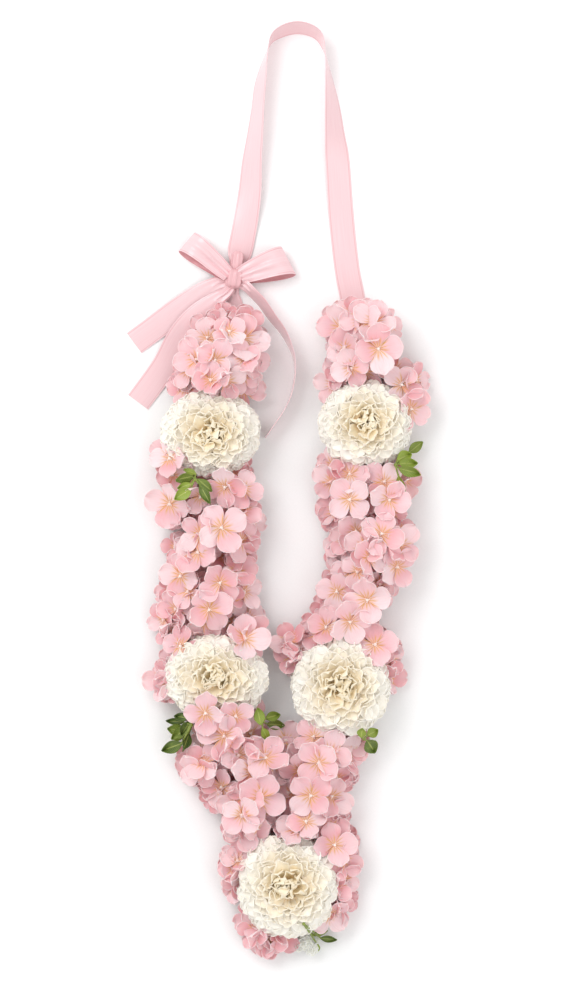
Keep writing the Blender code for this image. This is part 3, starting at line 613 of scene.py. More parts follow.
class SheetMesh:
    """One mesh gathered from thin closed sheets, tubes and beads."""

    def __init__(self) -> None:
        """Start with nothing."""
        self.points: list[np.ndarray] = []
        self.faces: list[list[int]] = []
        self.uvs: list[np.ndarray] = []
        self.tints: list[np.ndarray] = []
        self.finishes: list[int] = []
        self.count = 0

    def _add(self, points: np.ndarray, faces: Sequence[Sequence[int]], uvs: np.ndarray,
             tint: tuple[float, float], finish: int) -> None:
        """Add points and the faces between them.

        Args:
            points: the new points.
            faces: point numbers of each face, counted within the new points.
            uvs: a pair for each point.
            tint: depth and variation of the sheet.
            finish: which of the object's materials it has.
        """
        self.points.append(points)
        self.faces.extend([[i + self.count for i in face] for face in faces])
        self.uvs.append(uvs)
        self.tints.append(np.tile([tint[0], tint[1], 0.0, 1.0], (len(points), 1)))
        self.finishes.extend([finish] * len(faces))
        self.count += len(points)

    def add_sheet(self, grid: np.ndarray, thickness: float, tint: tuple[float, float],
                  finish: int = 0, along: float = 1.0) -> None:
        """Add a thin closed sheet through a grid of points.

        Args:
            grid: rows x columns x 3 points of its middle.
            thickness: in metres.
            tint: depth and variation, each 0 to 1.
            finish: which of the object's materials it has.
            along: how far the pattern runs along the sheet, in sheet widths.
        """
        rows, columns = grid.shape[:2]
        normals = np.cross(np.gradient(grid, axis=1), np.gradient(grid, axis=0))
        normals /= np.maximum(np.linalg.norm(normals, axis=-1, keepdims=True), 1e-12)
        half = 0.5 * thickness * normals
        points = np.concatenate([(grid + half).reshape(-1, 3), (grid - half).reshape(-1, 3)])
        under = rows * columns
        faces = []
        for i in range(rows - 1):
            for j in range(columns - 1):
                a = i * columns + j
                quad = [a, a + 1, a + columns + 1, a + columns]
                faces.append(quad)
                faces.append([k + under for k in reversed(quad)])
        rim = [j for j in range(columns)]
        rim += [i * columns + columns - 1 for i in range(1, rows)]
        rim += [(rows - 1) * columns + j for j in range(columns - 2, -1, -1)]
        rim += [i * columns for i in range(rows - 2, 0, -1)]
        for a, b in zip(rim, rim[1:] + rim[:1]):
            faces.append([b, a, a + under, b + under])
        v, u = np.meshgrid(np.linspace(0.0, along, rows), np.linspace(0.0, 1.0, columns), indexing="ij")
        v = np.sin(0.5 * np.pi * v) if along == 1.0 else v
        uvs = np.tile(np.stack([u, v], axis=-1).reshape(-1, 2), (2, 1))
        self._add(points, faces, uvs, tint, finish)

    def add_tube(self, path: Sequence[np.ndarray], radii: Sequence[float], finish: int,
                 sides: int = 6) -> None:
        """Add a closed tube.

        Args:
            path: its middle line.
            radii: its radius at each point of the path.
            finish: which of the object's materials it has.
            sides: how many sides it has.
        """
        path = [np.asarray(point, float) for point in path]
        rings = []
        for i, (point, radius) in enumerate(zip(path, radii)):
            way = path[min(i + 1, len(path) - 1)] - path[max(i - 1, 0)]
            way = way / max(np.linalg.norm(way), 1e-12)
            helper = np.array([0.0, 0.0, 1.0]) if abs(way[2]) < 0.9 else np.array([1.0, 0.0, 0.0])
            first = np.cross(way, helper)
            first /= np.linalg.norm(first)
            second = np.cross(way, first)
            turns = np.arange(sides) * 2.0 * np.pi / sides
            rings.append(point + radius * (np.outer(np.cos(turns), first) + np.outer(np.sin(turns), second)))
        faces = [list(range(sides))]
        for i in range(len(rings) - 1):
            for j in range(sides):
                a, b = i * sides + j, i * sides + (j + 1) % sides
                faces.append([b, a, a + sides, b + sides])
        faces.append([(len(rings) - 1) * sides + j for j in reversed(range(sides))])
        points = np.concatenate(rings)
        self._add(points, faces, np.zeros((len(points), 2)), (0.5, 0.5), finish)

    def add_bead(self, centre: np.ndarray, size: Sequence[float], finish: int, rings: int = 4,
                 sides: int = 8) -> None:
        """Add a small closed ball.

        Args:
            centre: its middle.
            size: its radius along X, Y and Z.
            finish: which of the object's materials it has.
            rings: rings between its poles.
            sides: points in each ring.
        """
        points = [np.array([0.0, 0.0, 1.0])]
        for i in range(1, rings + 1):
            polar = math.pi * i / (rings + 1)
            for j in range(sides):
                turn = 2.0 * math.pi * j / sides
                points.append(np.array([math.sin(polar) * math.cos(turn), math.sin(polar) * math.sin(turn),
                                        math.cos(polar)]))
        points.append(np.array([0.0, 0.0, -1.0]))
        last = len(points) - 1
        faces = []
        for j in range(sides):
            k = (j + 1) % sides
            faces.append([0, 1 + j, 1 + k])
            for i in range(rings - 1):
                a, b = 1 + i * sides + j, 1 + i * sides + k
                faces.append([a, a + sides, b + sides, b])
            faces.append([1 + (rings - 1) * sides + j, last, 1 + (rings - 1) * sides + k])
        placed = np.array(points) * np.asarray(size) + centre
        self._add(placed, faces, np.zeros((len(points), 2)), (0.5, 0.5), finish)

    def make(self, name: str, materials: Sequence[bpy.types.Material]) -> bpy.types.Object:
        """Make the object.

        Args:
            name: its name.
            materials: its materials, in the order that the finishes count them.

        Returns:
            The object, linked to the scene.
        """
        mesh = bpy.data.meshes.new(name)
        mesh.from_pydata(np.concatenate(self.points).tolist(), [], self.faces)
        corners = np.empty(len(mesh.loops), np.int32)
        mesh.loops.foreach_get("vertex_index", corners)
        layer = mesh.uv_layers.new(name=PETAL_UV)
        layer.data.foreach_set("uv", np.concatenate(self.uvs)[corners].astype(np.float32).ravel())
        tint = mesh.attributes.new(TINT, "FLOAT_COLOR", "POINT")
        tint.data.foreach_set("color", np.concatenate(self.tints).astype(np.float32).ravel())
        mesh.polygons.foreach_set("material_index", np.array(self.finishes, np.int32))
        for material in materials:
            mesh.materials.append(material)
        mesh.update()
        mesh.shade_smooth()
        mesh.set_sharp_from_angle(angle=math.radians(55.0))
        made = bpy.data.objects.new(name, mesh)
        bpy.context.scene.collection.objects.link(made)
        return made


def turned(axis: Sequence[float], degrees: float) -> np.ndarray:
    """Rotation matrix about an axis.

    Args:
        axis: the axis, of any length.
        degrees: the turn.

    Returns:
        A 3 x 3 matrix.
    """
    x, y, z = np.asarray(axis, float) / np.linalg.norm(axis)
    c, s = math.cos(math.radians(degrees)), math.sin(math.radians(degrees))
    cross = np.array([[0.0, -z, y], [z, 0.0, -x], [-y, x, 0.0]])
    return c * np.eye(3) + s * cross + (1.0 - c) * np.outer([x, y, z], [x, y, z])


@dataclass(frozen=True)
class Placement:
    """Where the working frame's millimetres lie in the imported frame."""

    offset: np.ndarray

    @staticmethod
    def from_frame() -> "Placement":
        """Find the offset from the pendant bloom's box.

        Returns:
            The placement.
        """
        low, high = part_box("ivory_bloom_pendant")
        middle = (low + high) / 2.0
        offset = [middle.x - PENDANT_PLACE[0] * MM, middle.y - PENDANT_PLACE[1] * MM, low.z - BLOOM_BASE * MM]
        return Placement(np.array(offset))

    def point(self, x: float, y: float, z: float) -> np.ndarray:
        """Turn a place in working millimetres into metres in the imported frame.

        Args:
            x: across the lei.
            y: along the lei.
            z: over the table.

        Returns:
            The point.
        """
        return np.array([x, y, z]) * MM + self.offset


class FrameSurface:
    """The upper side of the frame's flower solids, which leaves lie on."""

    def __init__(self) -> None:
        """Gather the sprigs and blooms of the frame."""
        points: list[Vector] = []
        faces: list[list[int]] = []
        for name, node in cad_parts.items():
            if "sprig" in name or "bloom" in name:
                start = len(points)
                points.extend(vert.co.copy() for vert in node.data.vertices)
                faces.extend([[i + start for i in face.vertices] for face in node.data.polygons])
        self.tree = BVHTree.FromPolygons(points, faces)

    def height(self, x: float, y: float, rest: float) -> float:
        """Measure the surface's height.

        Args:
            x: across the lei, in metres.
            y: along the lei, in metres.
            rest: the least height, also used where there is no surface.

        Returns:
            The height in metres.
        """
        hit = self.tree.ray_cast(Vector((x, y, 1.0)), Vector((0.0, 0.0, -1.0)))
        return max(hit[0].z, rest) if hit[0] is not None else rest


def finished(piece: bpy.types.Object, node: str) -> bpy.types.Object:
    """Put a piece on the lei in place of its node and log it.

    Args:
        piece: the piece.
        node: the frame's node that it stands for.

    Returns:
        The same piece.
    """
    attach(piece, "root")
    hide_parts(node)
    LOG.info("%s: %d faces", piece.name, len(piece.data.polygons))
    return piece


# ------------------------------------------------------------------ hydrangea

@dataclass
class HydrangeaSprig:
    """One sprig of hydrangea: florets of four petals on stalks from one stem end."""

    node: str
    florets: tuple[tuple[float, ...], ...]
    place: Placement
    petal: PetalForm = PetalForm(width=0.98, foot=0.16, tip=0.3, widest=0.6, rise=0.1, hollow=0.14,
                                 ruffle=0.03, waves=1.7, rows=9, columns=9)
    thickness: float = 0.35 * MM
    clear: float = 0.8 * MM         # lowest petal over the table
    seat_height: float = 4.0 * MM
    under_florets: int = 9          # smaller florets that fill the sprig's foot
    # Painted shade: the lower a floret lies under this height, the deeper rose its petals are painted.
    front_height: float = 34.0      # florets this high are palest
    gap: float = 0.05               # from the eye to a petal's foot, as a share of the reach
    over: float = 0.45 * MM         # how high every second petal lies over the floret's plane
    under: float = 0.1 * MM         # how far the others lie below it
    stalk_top: float = 5.0 * MM     # straight end of a stalk
    stamen: float = 1.5 * MM        # from the eye to a small bead

    def build(self, materials: Sequence[bpy.types.Material]) -> bpy.types.Object:
        """Build the sprig.

        Args:
            materials: petal, stalk and bead.

        Returns:
            The finished piece.
        """
        random = np.random.default_rng(sum(ord(letter) for letter in self.node) * 7 + 3)
        low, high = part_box(self.node)
        seat = np.array([(low.x + high.x) / 2.0, (low.y + high.y) / 2.0, self.seat_height])
        mesh = SheetMesh()
        for x, y, z, toward, lean, turn, reach in self.florets:
            self.add_floret(mesh, random, self.place.point(x, y, z), toward, lean, turn, reach * MM, seat)
        for number in range(self.under_florets):
            self.add_floret(mesh, random, *self.under_place(low, high, number, random), seat)
        mesh.add_bead(seat, (3.0 * MM, 3.0 * MM, 2.6 * MM), 1)
        return finished(mesh.make(self.node + "_florets", materials), self.node)

    def under_place(self, low: Vector, high: Vector, number: int,
                    random: np.random.Generator) -> tuple[np.ndarray, float, float, float, float]:
        """Place one of the small florets that fill the sprig's foot, inside the node's box.

        Args:
            low: the box's lowest corner.
            high: the box's highest corner.
            number: which floret it is.
            random: the sprig's own random numbers.

        Returns:
            Eye, way it leans, lean, turn and reach.
        """
        reach = (11.0 + 2.0 * random.random()) * MM
        turn = 2.0 * math.pi * number / self.under_florets + 0.6 * random.random()
        room_x = max(0.5 * (high.x - low.x) - 0.95 * reach, 1.0 * MM)
        room_y = max(0.5 * (high.y - low.y) - 0.9 * reach, 1.0 * MM)
        eye = np.array([(low.x + high.x) / 2.0 + room_x * math.cos(turn),
                        (low.y + high.y) / 2.0 + room_y * math.sin(turn),
                        (6.0 + 12.0 * random.random()) * MM])
        return eye, math.degrees(turn), 25.0 + 15.0 * random.random(), 360.0 * random.random(), reach

    def add_floret(self, mesh: SheetMesh, random: np.random.Generator, eye: np.ndarray, toward: float,
                   lean: float, turn: float, reach: float, seat: np.ndarray) -> None:
        """Add one floret with its stalk and bead.

        Args:
            mesh: the sprig's mesh.
            random: the sprig's own random numbers.
            eye: the floret's middle.
            toward: the way it leans, in degrees.
            lean: how far it leans, in degrees.
            turn: the turn of its first petal, in degrees.
            reach: the reach of its petals, in metres.
            seat: the stem end.
        """
        heading = math.radians(toward)
        tilt = turned((-math.sin(heading), math.cos(heading), 0.0), lean)
        # Painted shade: this number falls with the eye's height, and the petal colour darkens with it.
        depth = min(1.0, max(0.0, eye[2] / (self.front_height * MM)))
        grids = []
        for number in range(4):
            length = reach * (0.84 + 0.15 * random.random())
            form = replace(self.petal, rise=float(random.uniform(-0.16, 0.3)),
                           hollow=float(random.uniform(0.04, 0.26)), width=float(random.uniform(0.92, 1.06)))
            grid = form.grid(length, random.random() * 2.0 * math.pi)
            grid = grid @ turned((0.0, 1.0, 0.0), random.uniform(-18.0, 18.0)).T
            grid = grid @ turned((1.0, 0.0, 0.0), random.uniform(-6.0, 20.0)).T
            grid[..., 1] += self.gap * reach
            grid[..., 2] += self.over if number % 2 else -self.under
            way = turn + 90.0 * number - 90.0 + random.normal(0.0, 4.0)
            grids.append(grid @ (tilt @ turned((0.0, 0.0, 1.0), way)).T + eye)
        sink = self.clear + self.thickness - min(float(grid[..., 2].min()) for grid in grids)
        lift = np.array([0.0, 0.0, max(0.0, sink)])
        for grid in grids:
            mesh.add_sheet(grid + lift, self.thickness, (depth, float(random.random())))
        face = tilt @ np.array([0.0, 0.0, 1.0])
        top = eye + lift
        mesh.add_bead(top + face * 0.9 * MM, (1.15 * MM, 1.15 * MM, 1.0 * MM), 2)
        stamen = np.array([self.stamen, 0.0, 1.0 * MM])
        for number in range(3):
            spot = turned((0.0, 0.0, 1.0), turn + 45.0 + 120.0 * number) @ stamen
            mesh.add_bead(top + tilt @ spot, (0.45 * MM, 0.45 * MM, 0.45 * MM), 2, 2, 6)
        below = top - face * self.stalk_top
        knee = (seat + below) / 2.0
        knee[2] = max(min(knee[2], below[2]), 2.0 * MM)
        below[2] = max(below[2], 1.6 * MM)
        radii = [1.0 * MM, 0.8 * MM, 0.65 * MM, 0.6 * MM]
        mesh.add_tube([seat, knee, below, top - face * 0.2 * MM], radii, 1)


# ------------------------------------------------------------------ ivory blooms

@dataclass
class IvoryBloom:
    """A full double bloom: small spoon-shaped petals outside, larger ruffled ones inside, a loose heart."""

    node: str
    petals: int = 250
    heart: float = 0.07             # share of the petals that make the loose whorl in the middle
    thickness: float = 0.55 * MM
    body: float = 0.62              # the body that the petals grow from, as a share of the bloom
    reach: float = 0.97             # where the tips lie, as a share of the bloom
    centre: float = 0.42            # height of its middle, as a share of its own
    cover: float = 1.62             # 2 if petals went all round the underside, 1 if they stopped at the rim
    droop: float = -38.0            # lowest slope of a petal, in degrees

    def build(self, materials: Sequence[bpy.types.Material]) -> bpy.types.Object:
        """Build the bloom inside its node's box.

        Args:
            materials: petal and body.

        Returns:
            The finished piece.
        """
        random = np.random.default_rng(sum(ord(letter) for letter in self.node))
        low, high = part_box(self.node)
        middle = np.array((low + high) / 2.0)
        middle[2] = low.z + self.centre * (high.z - low.z)
        half = np.array([(high.x - low.x) / 2.0, (high.y - low.y) / 2.0, high.z - middle[2]])
        mesh = SheetMesh()
        mesh.add_bead(middle - np.array([0.0, 0.0, 1.0 * MM]), half * self.body * 0.97, 1, 10, 20)
        start = random.random() * 2.0 * math.pi
        for number in range(self.petals):
            share = (number + 0.5) / self.petals
            self.add_petal(mesh, random, middle, half, share, start + number * GOLDEN_ANGLE, low.z)
        return finished(mesh.make(self.node + "_petals", materials), self.node)

    def add_petal(self, mesh: SheetMesh, random: np.random.Generator, middle: np.ndarray, half: np.ndarray,
                  share: float, turn: float, floor: float) -> None:
        """Add one petal, worked back from its tip.

        Args:
            mesh: the bloom's mesh.
            random: the bloom's own random numbers.
            middle: the bloom's middle.
            half: its half widths and its height over the middle.
            share: 0 at the heart to 1 at the underside.
            turn: its place round the bloom, in radians.
            floor: the lowest height allowed.
        """
        in_heart = share < self.heart
        polar = math.acos(1.0 - self.cover * share) + random.normal(0.0, 0.05)
        turn += random.normal(0.0, 0.5 if in_heart else 0.06)
        radial = np.array([math.cos(turn), math.sin(turn), 0.0])
        up = np.array([0.0, 0.0, 1.0])
        outward = math.sin(polar) * radial + math.cos(polar) * up
        elevation = max(math.radians(self.droop), math.radians(80.0) - 1.5 * polar) + random.normal(0.0, 0.08)
        way = math.cos(elevation) * radial + math.sin(elevation) * up
        face = -math.sin(elevation) * radial + math.cos(elevation) * up
        around = np.array([math.sin(turn), -math.cos(turn), 0.0])
        twist = turned(way, random.normal(0.0, 38.0 if in_heart else 5.0))
        face, around = twist @ face, twist @ around
        length = (0.42 + 0.3 * share * (1.0 - share)) * float(half[:2].mean()) * random.uniform(0.92, 1.08)
        reach = self.reach * (random.uniform(0.84, 0.98) if in_heart else random.uniform(0.96, 1.02))
        grid = self.form(share).grid(length, random.random() * 2.0 * math.pi)
        root = middle + outward * half * reach - way * length
        placed = root + grid[..., 0:1] * around + grid[..., 1:2] * way + grid[..., 2:3] * face
        placed[..., 2] = np.maximum(placed[..., 2], floor + self.thickness)
        mesh.add_sheet(placed, self.thickness, (min(1.0, share * 2.5), float(random.random())))

    @staticmethod
    def form(share: float) -> PetalForm:
        """Choose a petal's shape.

        Args:
            share: 0 at the heart to 1 at the underside.

        Returns:
            The shape.
        """
        if share < 0.07:
            return PetalForm(width=0.74, foot=0.5, tip=0.5, rounding=0.16, rise=0.1, hollow=0.3, ruffle=0.07,
                             waves=2.3, rows=8, columns=9)
        if share < 0.3:
            return PetalForm(width=0.74, foot=0.45, tip=0.4, rounding=0.14, rise=0.1, hollow=0.16,
                             ruffle=0.025, waves=1.9, rows=8, columns=8)
        return PetalForm(width=0.66, foot=0.45, tip=0.3, rounding=0.1, rise=0.02, hollow=0.12, ruffle=0.01,
                         waves=1.2, rows=8, columns=7)


# ------------------------------------------------------------------ ribbon and bow

def smooth_rows(stations: Sequence[Sequence[float]], steps: int) -> np.ndarray:
    """Read rows from a smooth curve through stations.

    Args:
        stations: the stations' values.
        steps: rows from one station to the next.

    Returns:
        An array with a row of values for each point of the curve.
    """
    given = np.array(stations, float)
    last = len(given) - 1
    rows = []
    for i in range(last):
        a, b, c, d = given[max(i - 1, 0)], given[i], given[i + 1], given[min(i + 2, last)]
        for step in range(steps):
            t = step / steps
            rows.append(b + 0.5 * ((c - a) * t + (2 * a - 5 * b + 4 * c - d) * t ** 2
                                   + (3 * b - a - 3 * c + d) * t ** 3))
    rows.append(given[last])
    return np.array(rows)


@dataclass
class SatinLength:
    """A length of satin ribbon along its stations."""

    node: str
    stations: tuple[tuple[float, ...], ...]
    place: Placement
    rests_on: tuple[str, ...] = ()
    width: float = 16.0             # full width, mm
    thickness: float = 0.3 * MM
    steps: int = 6
    columns: int = 9
    crown: float = 0.35             # how far the middle bows up, mm
    gather: float = 1.3             # depth of the folds where the ribbon is drawn in, mm
    inner: float = 0.0              # how deep in shade its colour is
    clear: float = 0.28             # height of its middle over the table where it lies flat, mm

    def grid(self) -> tuple[np.ndarray, float]:
        """Work out the ribbon's points.

        Returns:
            Rows x columns x 3 points in metres, and the ribbon's length in metres.
        """
        rows = smooth_rows(self.stations, self.steps)
        heading = np.gradient(rows[:, :2], axis=0)
        heading /= np.linalg.norm(heading, axis=1, keepdims=True)
        across = np.linspace(-1.0, 1.0, self.columns)
        points = np.zeros((len(rows), self.columns, 3))
        for i, (x, y, roll, share, lift) in enumerate(rows):
            angle = math.radians(roll)
            level = math.cos(angle)
            upright = math.sin(angle)
            side = np.array([-heading[i, 1] * level, heading[i, 0] * level, upright])
            normal = np.array([heading[i, 1] * upright, -heading[i, 0] * upright, level])
            half = 0.5 * self.width * share
            height = half * abs(upright) + self.clear + lift
            folds = self.gather * max(0.0, 1.0 - share) * np.cos(across * 3.0 * np.pi)
            bow = self.crown * (1.0 - across ** 2) + folds + self.gather * max(0.0, 1.0 - share)
            offsets = np.outer(across * half, side) + np.outer(bow, normal)
            points[i] = np.array([x, y, height]) + offsets
        length = float(np.linalg.norm(np.diff(rows[:, :2], axis=0), axis=1).sum()) * MM
        return points * MM + self.place.offset, length

    def build(self, materials: Sequence[bpy.types.Material]) -> bpy.types.Object:
        """Build the ribbon.

        Args:
            materials: satin.

        Returns:
            The finished piece.
        """
        points, length = self.grid()
        mesh = SheetMesh()
        mesh.add_sheet(points, self.thickness, (self.inner, 0.5), 0, length / (self.width * MM))
        piece = finished(mesh.make(self.node + "_satin", materials), self.node)
        return piece


@dataclass
class BowLoop:
    """One loop of the bow: out along its back layer, round the fold and home along the front layer."""

    node: str
    root: tuple[float, float]
    fold: tuple[float, float]
    widths: tuple[float, float]
    slant: float
    place: Placement
    middle: float = 6.8
    pinch: float = 2.2
    belly: float = 7.0
    drop: float = 2.6               # how far the back layer shows below the front one, mm
    thickness: float = 0.3 * MM
    steps: int = 48
    columns: int = 17
    gather: float = 0.9
    pleats: float = 0.8             # depth of the soft folds that run out from the knot, mm

    def grid(self) -> tuple[np.ndarray, float]:
        """Work out the loop's points.

        Returns:
            Rows x columns x 3 points in metres, and the length of ribbon in the loop in metres.
        """
        root, fold = np.array(self.root), np.array(self.fold)
        reach = float(np.linalg.norm(fold - root))
        along = (fold - root) / reach
        square = turned((0.0, 0.0, 1.0), self.slant) @ np.array([-along[1], along[0], 0.0])
        south = square if square[1] < 0.0 else -square
        across = np.linspace(-1.0, 1.0, self.columns)
        points = np.zeros((self.steps + 1, self.columns, 3))
        for i in range(self.steps + 1):
            s = i / self.steps
            out = math.sin(math.pi * s) ** 0.7
            apart = self.pinch + (self.belly - self.pinch) * math.sin(2.0 * math.pi * s) ** 2
            height = self.middle - apart * math.cos(math.pi * s)
            width = self.widths[0] + (self.widths[1] - self.widths[0]) * out ** 0.7
            centre = np.array([*(root + along * reach * out), height])
            centre += south * self.drop * math.cos(math.pi * s) * out
            folds = self.gather * (1.0 - out) * np.cos(across * 3.5 * np.pi + 0.6)
            folds += self.pleats * math.sin(math.pi * out) * np.cos(across * 2.1 * np.pi + 0.8)
            folds += 0.7 * out * np.cos(across * 0.5 * np.pi)
            points[i] = centre + np.outer(across * width * 0.5, square)
            points[i, :, 2] += folds
        line = points[:, self.columns // 2]
        length = float(np.linalg.norm(np.diff(line, axis=0), axis=1).sum()) * MM
        return points * MM + self.place.offset, length

    def build(self, materials: Sequence[bpy.types.Material]) -> bpy.types.Object:
        """Build the loop.

        Args:
            materials: satin.

        Returns:
            The finished piece.
        """
        points, length = self.grid()
        mesh = SheetMesh()
        widest = max(self.widths) * MM
        mesh.add_sheet(points, self.thickness, (0.0, 0.5), 0, length / widest)
        # Painted shade on the back layer, where the loop's inside shows; none on the front layer.
        inside = np.clip((0.5 - np.linspace(0.0, 1.0, self.steps + 1)) / 0.08, 0.0, 0.9)
        mesh.tints[-1][:, 0] = np.tile(np.repeat(inside, self.columns), 2)
        piece = finished(mesh.make(self.node + "_satin", materials), self.node)
        return piece


@dataclass
class BowKnot:
    """The wrap of ribbon that holds the bow, with folds along the strap, and the flap above it."""

    place: Placement
    centre: tuple[float, float] = (-26.2, 135.9)
    size: tuple[float, float, float] = (10.3, 13.0, 10.2)
    flap_centre: tuple[float, float] = (-24.2, 147.2)
    flap_size: tuple[float, float, float] = (7.6, 13.0, 6.2)
    flap_lift: float = 2.6
    heading: float = 82.0
    folds: int = 9
    fold_depth: float = 0.07
    rings: int = 18
    sides: int = 72

    def pillow(self, mesh: SheetMesh, centre: tuple[float, float], size: tuple[float, float, float],
               lift: float) -> None:
        """Add one soft closed form with folds running along it.

        Args:
            mesh: the knot's mesh.
            centre: its middle, in working millimetres.
            size: its width, length and height.
            lift: the height of its underside.
        """
        start = len(mesh.points)
        # The bead's tint of 0.5 mixes the knot's satin half way to the shade colour: painted shade over the
        # whole knot.
        mesh.add_bead(np.zeros(3), (1.0, 1.0, 1.0), 0, self.rings, self.sides)
        points = mesh.points[start]
        ends = points[:, 2]
        turn = np.arctan2(points[:, 1], points[:, 0])
        girth = (1.0 - np.abs(ends) ** 5) ** 0.5
        square = (np.abs(np.cos(turn)) ** 3.2 + np.abs(np.sin(turn)) ** 3.2) ** (-1.0 / 3.2)
        radius = girth * square * (1.0 + self.fold_depth * np.cos(self.folds * turn) * girth)
        shape = np.stack([radius * np.cos(turn) * size[0] / 2.0, ends * size[1] / 2.0,
                          radius * np.sin(turn) * size[2] / 2.0], axis=-1)
        shape = shape @ turned((0.0, 0.0, 1.0), self.heading - 90.0).T
        mesh.points[start] = shape * MM + self.place.point(*centre, lift + size[2] / 2.0)
        spread = np.stack([(turn / math.pi + 1.0) * 0.5, (ends + 1.0) * 0.5], axis=-1)
        mesh.uvs[start] = 0.15 + 0.6 * spread
        count = len(mesh.faces)
        added = (self.rings - 1) * self.sides + 2 * self.sides
        for number in range(count - added, count):
            mesh.faces[number].reverse()

    def build(self, materials: Sequence[bpy.types.Material]) -> bpy.types.Object:
        """Build the knot.

        Args:
            materials: satin.

        Returns:
            The finished piece.
        """
        mesh = SheetMesh()
        self.pillow(mesh, self.centre, self.size, 0.3)
        self.pillow(mesh, self.flap_centre, self.flap_size, self.flap_lift)
        return finished(mesh.make("bow_knot_satin", materials), "bow_knot")


# ------------------------------------------------------------------ greenery and filler

@dataclass
class LeafSprig:
    """Leaves on short stems that meet at one stem end, lying on the flowers below."""

    node: str
    seat: tuple[float, float]
    leaves: tuple[tuple[float, ...], ...]
    place: Placement
    surface: FrameSurface
    over: float = 3.4 * MM
    rest: float = 7.0 * MM
    thickness: float = 0.4 * MM
    broad: float = 1.25             # real width as a share of the width that shows from above
    droop: float = 7.0 * MM         # the most that a tip lies below its base
    leaf: PetalForm = PetalForm(width=0.5, foot=0.12, tip=0.04, fullness=0.9, rounding=0.0, widest=0.45,
                                rise=-0.12, hollow=0.18, ruffle=0.03, waves=1.0, rows=10, columns=7)

    def height(self, x: float, y: float) -> np.ndarray:
        """Find a point a little over the flowers.

        Args:
            x: across the lei, in working millimetres.
            y: along the lei, in working millimetres.

        Returns:
            The point in metres.
        """
        spot = self.place.point(x, y, 0.0)
        return np.array([spot[0], spot[1], self.surface.height(spot[0], spot[1], self.rest) + self.over])

    def add_leaves(self, mesh: SheetMesh, random: np.random.Generator) -> None:
        """Add the leaves and their stems.

        Args:
            mesh: the sprig's mesh.
            random: the sprig's own random numbers.
        """
        joint = self.height(*self.seat)
        for base_x, base_y, tip_x, tip_y, width in self.leaves:
            base, tip = self.height(base_x, base_y), self.height(tip_x, tip_y)
            tip[2] = max(tip[2], base[2] - self.droop)
            along = tip - base
            length = float(np.linalg.norm(along))
            along /= length
            across = np.cross(along, (0.0, 0.0, 1.0))
            across /= np.linalg.norm(across)
            across = turned(along, float(random.normal(0.0, 14.0))) @ across
            face = np.cross(across, along)
            grid = self.leaf.grid(length, random.random() * 6.0)
            grid[..., 0] *= self.broad * width * MM / (self.leaf.width * length)
            placed = base + grid[..., 0:1] * across + grid[..., 1:2] * along + grid[..., 2:3] * face
            mesh.add_sheet(placed, self.thickness, (0.5, float(random.random()) ** 0.8))
            mesh.add_tube([joint, base + along * length * 0.06], [0.7 * MM, 0.5 * MM], 1)
        mesh.add_bead(joint, (1.2 * MM, 1.2 * MM, 1.1 * MM), 1)

    def build(self, materials: Sequence[bpy.types.Material]) -> bpy.types.Object:
        """Build the sprig.

        Args:
            materials: leaf and stem.

        Returns:
            The finished piece.
        """
        random = np.random.default_rng(sum(ord(letter) for letter in self.node) + 11)
        mesh = SheetMesh()
        self.add_leaves(mesh, random)
        return finished(mesh.make(self.node + "_leaves", materials), self.node)


@dataclass
class FillerSprig(LeafSprig):
    """Small white filler flowers over a few thin leaves."""

    heads: tuple[tuple[float, ...], ...] = FILLER_HEADS
    petals_per_head: int = 34
    petal_thickness: float = 0.25 * MM
    petal_clear: float = 0.5 * MM   # lowest petal over the table
    petal: PetalForm = PetalForm(width=0.8, foot=0.3, rise=0.2, hollow=0.2, ruffle=0.05, rows=6, columns=5)

    def build(self, materials: Sequence[bpy.types.Material]) -> bpy.types.Object:
        """Build the filler.

        Args:
            materials: leaf, stem, white petal.

        Returns:
            The finished piece.
        """
        random = np.random.default_rng(23)
        mesh = SheetMesh()
        self.add_leaves(mesh, random)
        for x, y, z, radius in self.heads:
            middle = self.place.point(x, y, z)
            mesh.add_bead(middle, (0.5 * radius * MM,) * 3, 2)
            for number in range(self.petals_per_head):
                polar = math.acos(1.0 - 1.7 * (number + 0.5) / self.petals_per_head)
                turn = number * GOLDEN_ANGLE
                outward = np.array([math.sin(polar) * math.cos(turn), math.sin(polar) * math.sin(turn),
                                    math.cos(polar)])
                around = np.array([-math.sin(turn), math.cos(turn), 0.0])
                face = np.cross(outward, around)
                grid = self.petal.grid(0.6 * radius * MM, random.random() * 6.0)
                placed = (middle + 0.45 * radius * MM * outward + grid[..., 0:1] * around
                          + grid[..., 1:2] * outward + grid[..., 2:3] * face)
                placed[..., 2] = np.maximum(placed[..., 2], self.petal_clear)
                mesh.add_sheet(placed, self.petal_thickness, (0.9, float(random.random())), 2)
        return finished(mesh.make(self.node + "_heads", materials), self.node)


# ------------------------------------------------------------------ studio

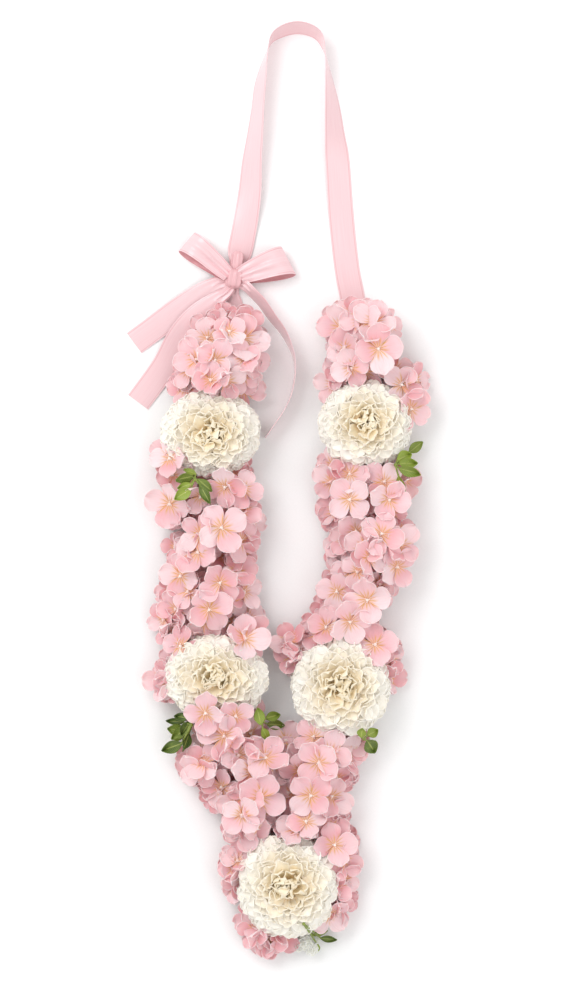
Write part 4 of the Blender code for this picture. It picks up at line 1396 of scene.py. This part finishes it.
@dataclass
class Studio:
    """Pale floor, soft lights and the camera that looks straight down on the lei."""

    place: Placement
    view_centre: tuple[float, float] = (4.0, -6.4)
    view_height: float = 0.640
    lens: float = 200.0
    sensor: float = 36.0
    eye_level: float = 0.02
    floor_size: float = 6.0
    key_power: float = 15.0
    fill_power: float = 6.0
    key_place: tuple[float, float, float] = (-0.9, 0.8, 1.5)
    fill_place: tuple[float, float, float] = (1.1, -0.5, 1.3)
    key_size: float = 1.1
    fill_size: float = 1.6
    sky_strength: float = 0.8

    def build(self) -> None:
        """Build the floor, the lights and the camera."""
        self.build_floor()
        self.build_light("key_light", self.key_place, self.key_size, self.key_power)
        self.build_light("fill_light", self.fill_place, self.fill_size, self.fill_power)
        world = bpy.data.worlds.new("studio_world")
        world.use_nodes = True
        sky = world.node_tree.nodes["Background"]
        sky.inputs["Color"].default_value = linear("#FFFFFF")
        sky.inputs["Strength"].default_value = self.sky_strength
        bpy.context.scene.world = world
        bpy.context.scene.view_settings.view_transform = "Standard"
        self.build_camera()

    def build_floor(self) -> None:
        """Build the plain pale floor."""
        mesh = bpy.data.meshes.new("floor")
        half = self.floor_size / 2.0
        mesh.from_pydata([(-half, -half, 0), (half, -half, 0), (half, half, 0), (-half, half, 0)], [],
                         [(0, 1, 2, 3)])
        mesh.materials.append(PlainGrowthFinish("matt_white_card", "#FDFDFD", "#FFFFFF", 0.9).build())
        floor = bpy.data.objects.new("floor", mesh)
        bpy.context.scene.collection.objects.link(floor)

    def build_light(self, name: str, spot: tuple[float, float, float], size: float, power: float) -> None:
        """Build one soft square light that faces the lei.

        Args:
            name: its name.
            spot: where it hangs, in metres.
            size: the side of its face.
            power: in watts.
        """
        lamp = bpy.data.lights.new(name, "AREA")
        lamp.size = size
        lamp.energy = power
        light = bpy.data.objects.new(name, lamp)
        light.location = spot
        light.rotation_euler = (-Vector(spot)).to_track_quat("-Z", "Y").to_euler()
        bpy.context.scene.collection.objects.link(light)

    def build_camera(self) -> None:
        """Build the camera, so far off that the view is nearly without perspective."""
        data = bpy.data.cameras.new("camera")
        data.lens = self.lens
        data.sensor_width = self.sensor
        data.clip_end = 20.0
        camera = bpy.data.objects.new("camera", data)
        middle = self.place.point(*self.view_centre, 0.0)
        distance = self.view_height * self.lens / self.sensor
        camera.location = (middle[0], middle[1], self.eye_level + distance)
        bpy.context.scene.collection.objects.link(camera)
        bpy.context.scene.camera = camera


def main() -> None:
    """Build the lei and its studio."""
    logging.basicConfig(level=logging.INFO, format="%(name)s: %(message)s")
    place = Placement.from_frame()
    surface = FrameSurface()
    satin = [SatinFinish().build()]
    stalk = PlainGrowthFinish("flower_stalk_green", "#A9A866", "#D8A98F").build()
    bead = PlainGrowthFinish("floret_bead_pearly", "#F7D9D2", "#FFF7EE", 0.3).build()
    pink = [PinkPetalFinish().build(), stalk, bead]
    body = PlainGrowthFinish("bloom_body_cream", "#E4C88E", "#F6E6C4", 0.8).build()
    ivory = [IvoryPetalFinish().build(), body]
    stem = PlainGrowthFinish("leaf_stem_olive", "#6E7F2D", "#93A04A").build()
    green = [LeafFinish().build(), stem]
    white = PlainGrowthFinish("filler_petal_white", "#F8F8EC", "#FFFFFF").build()

    SatinLength("neck_ribbon", NECK_RIBBON, place).build(satin)
    BowKnot(place).build(satin)
    BowLoop("bow_left_loop", (-29.6, 138.0), (-56.6, 159.4), (9.0, 15.6), -2.0, place).build(satin)
    BowLoop("bow_right_loop", (-22.6, 137.5), (8.9, 147.3), (10.0, 20.0), 10.0, place).build(satin)
    for node, stations in TAILS.items():
        SatinLength(node, stations, place, ("left_top_sprig_1", "left_top_sprig_2")).build(satin)
    for node in BLOOMS:
        IvoryBloom(node).build(ivory)
    for node, florets in FLORETS.items():
        HydrangeaSprig(node, florets, place).build(pink)
    for node, (seat, leaves) in LEAVES.items():
        LeafSprig(node, seat, leaves, place, surface).build(green)
    FillerSprig("filler_flower_sprig", FILLER_STEM, FILLER_LEAVES, place, surface,
                rest=2.0 * MM).build([*green, white])
    Studio(place).build()


if __name__ == "__main__":
    main()
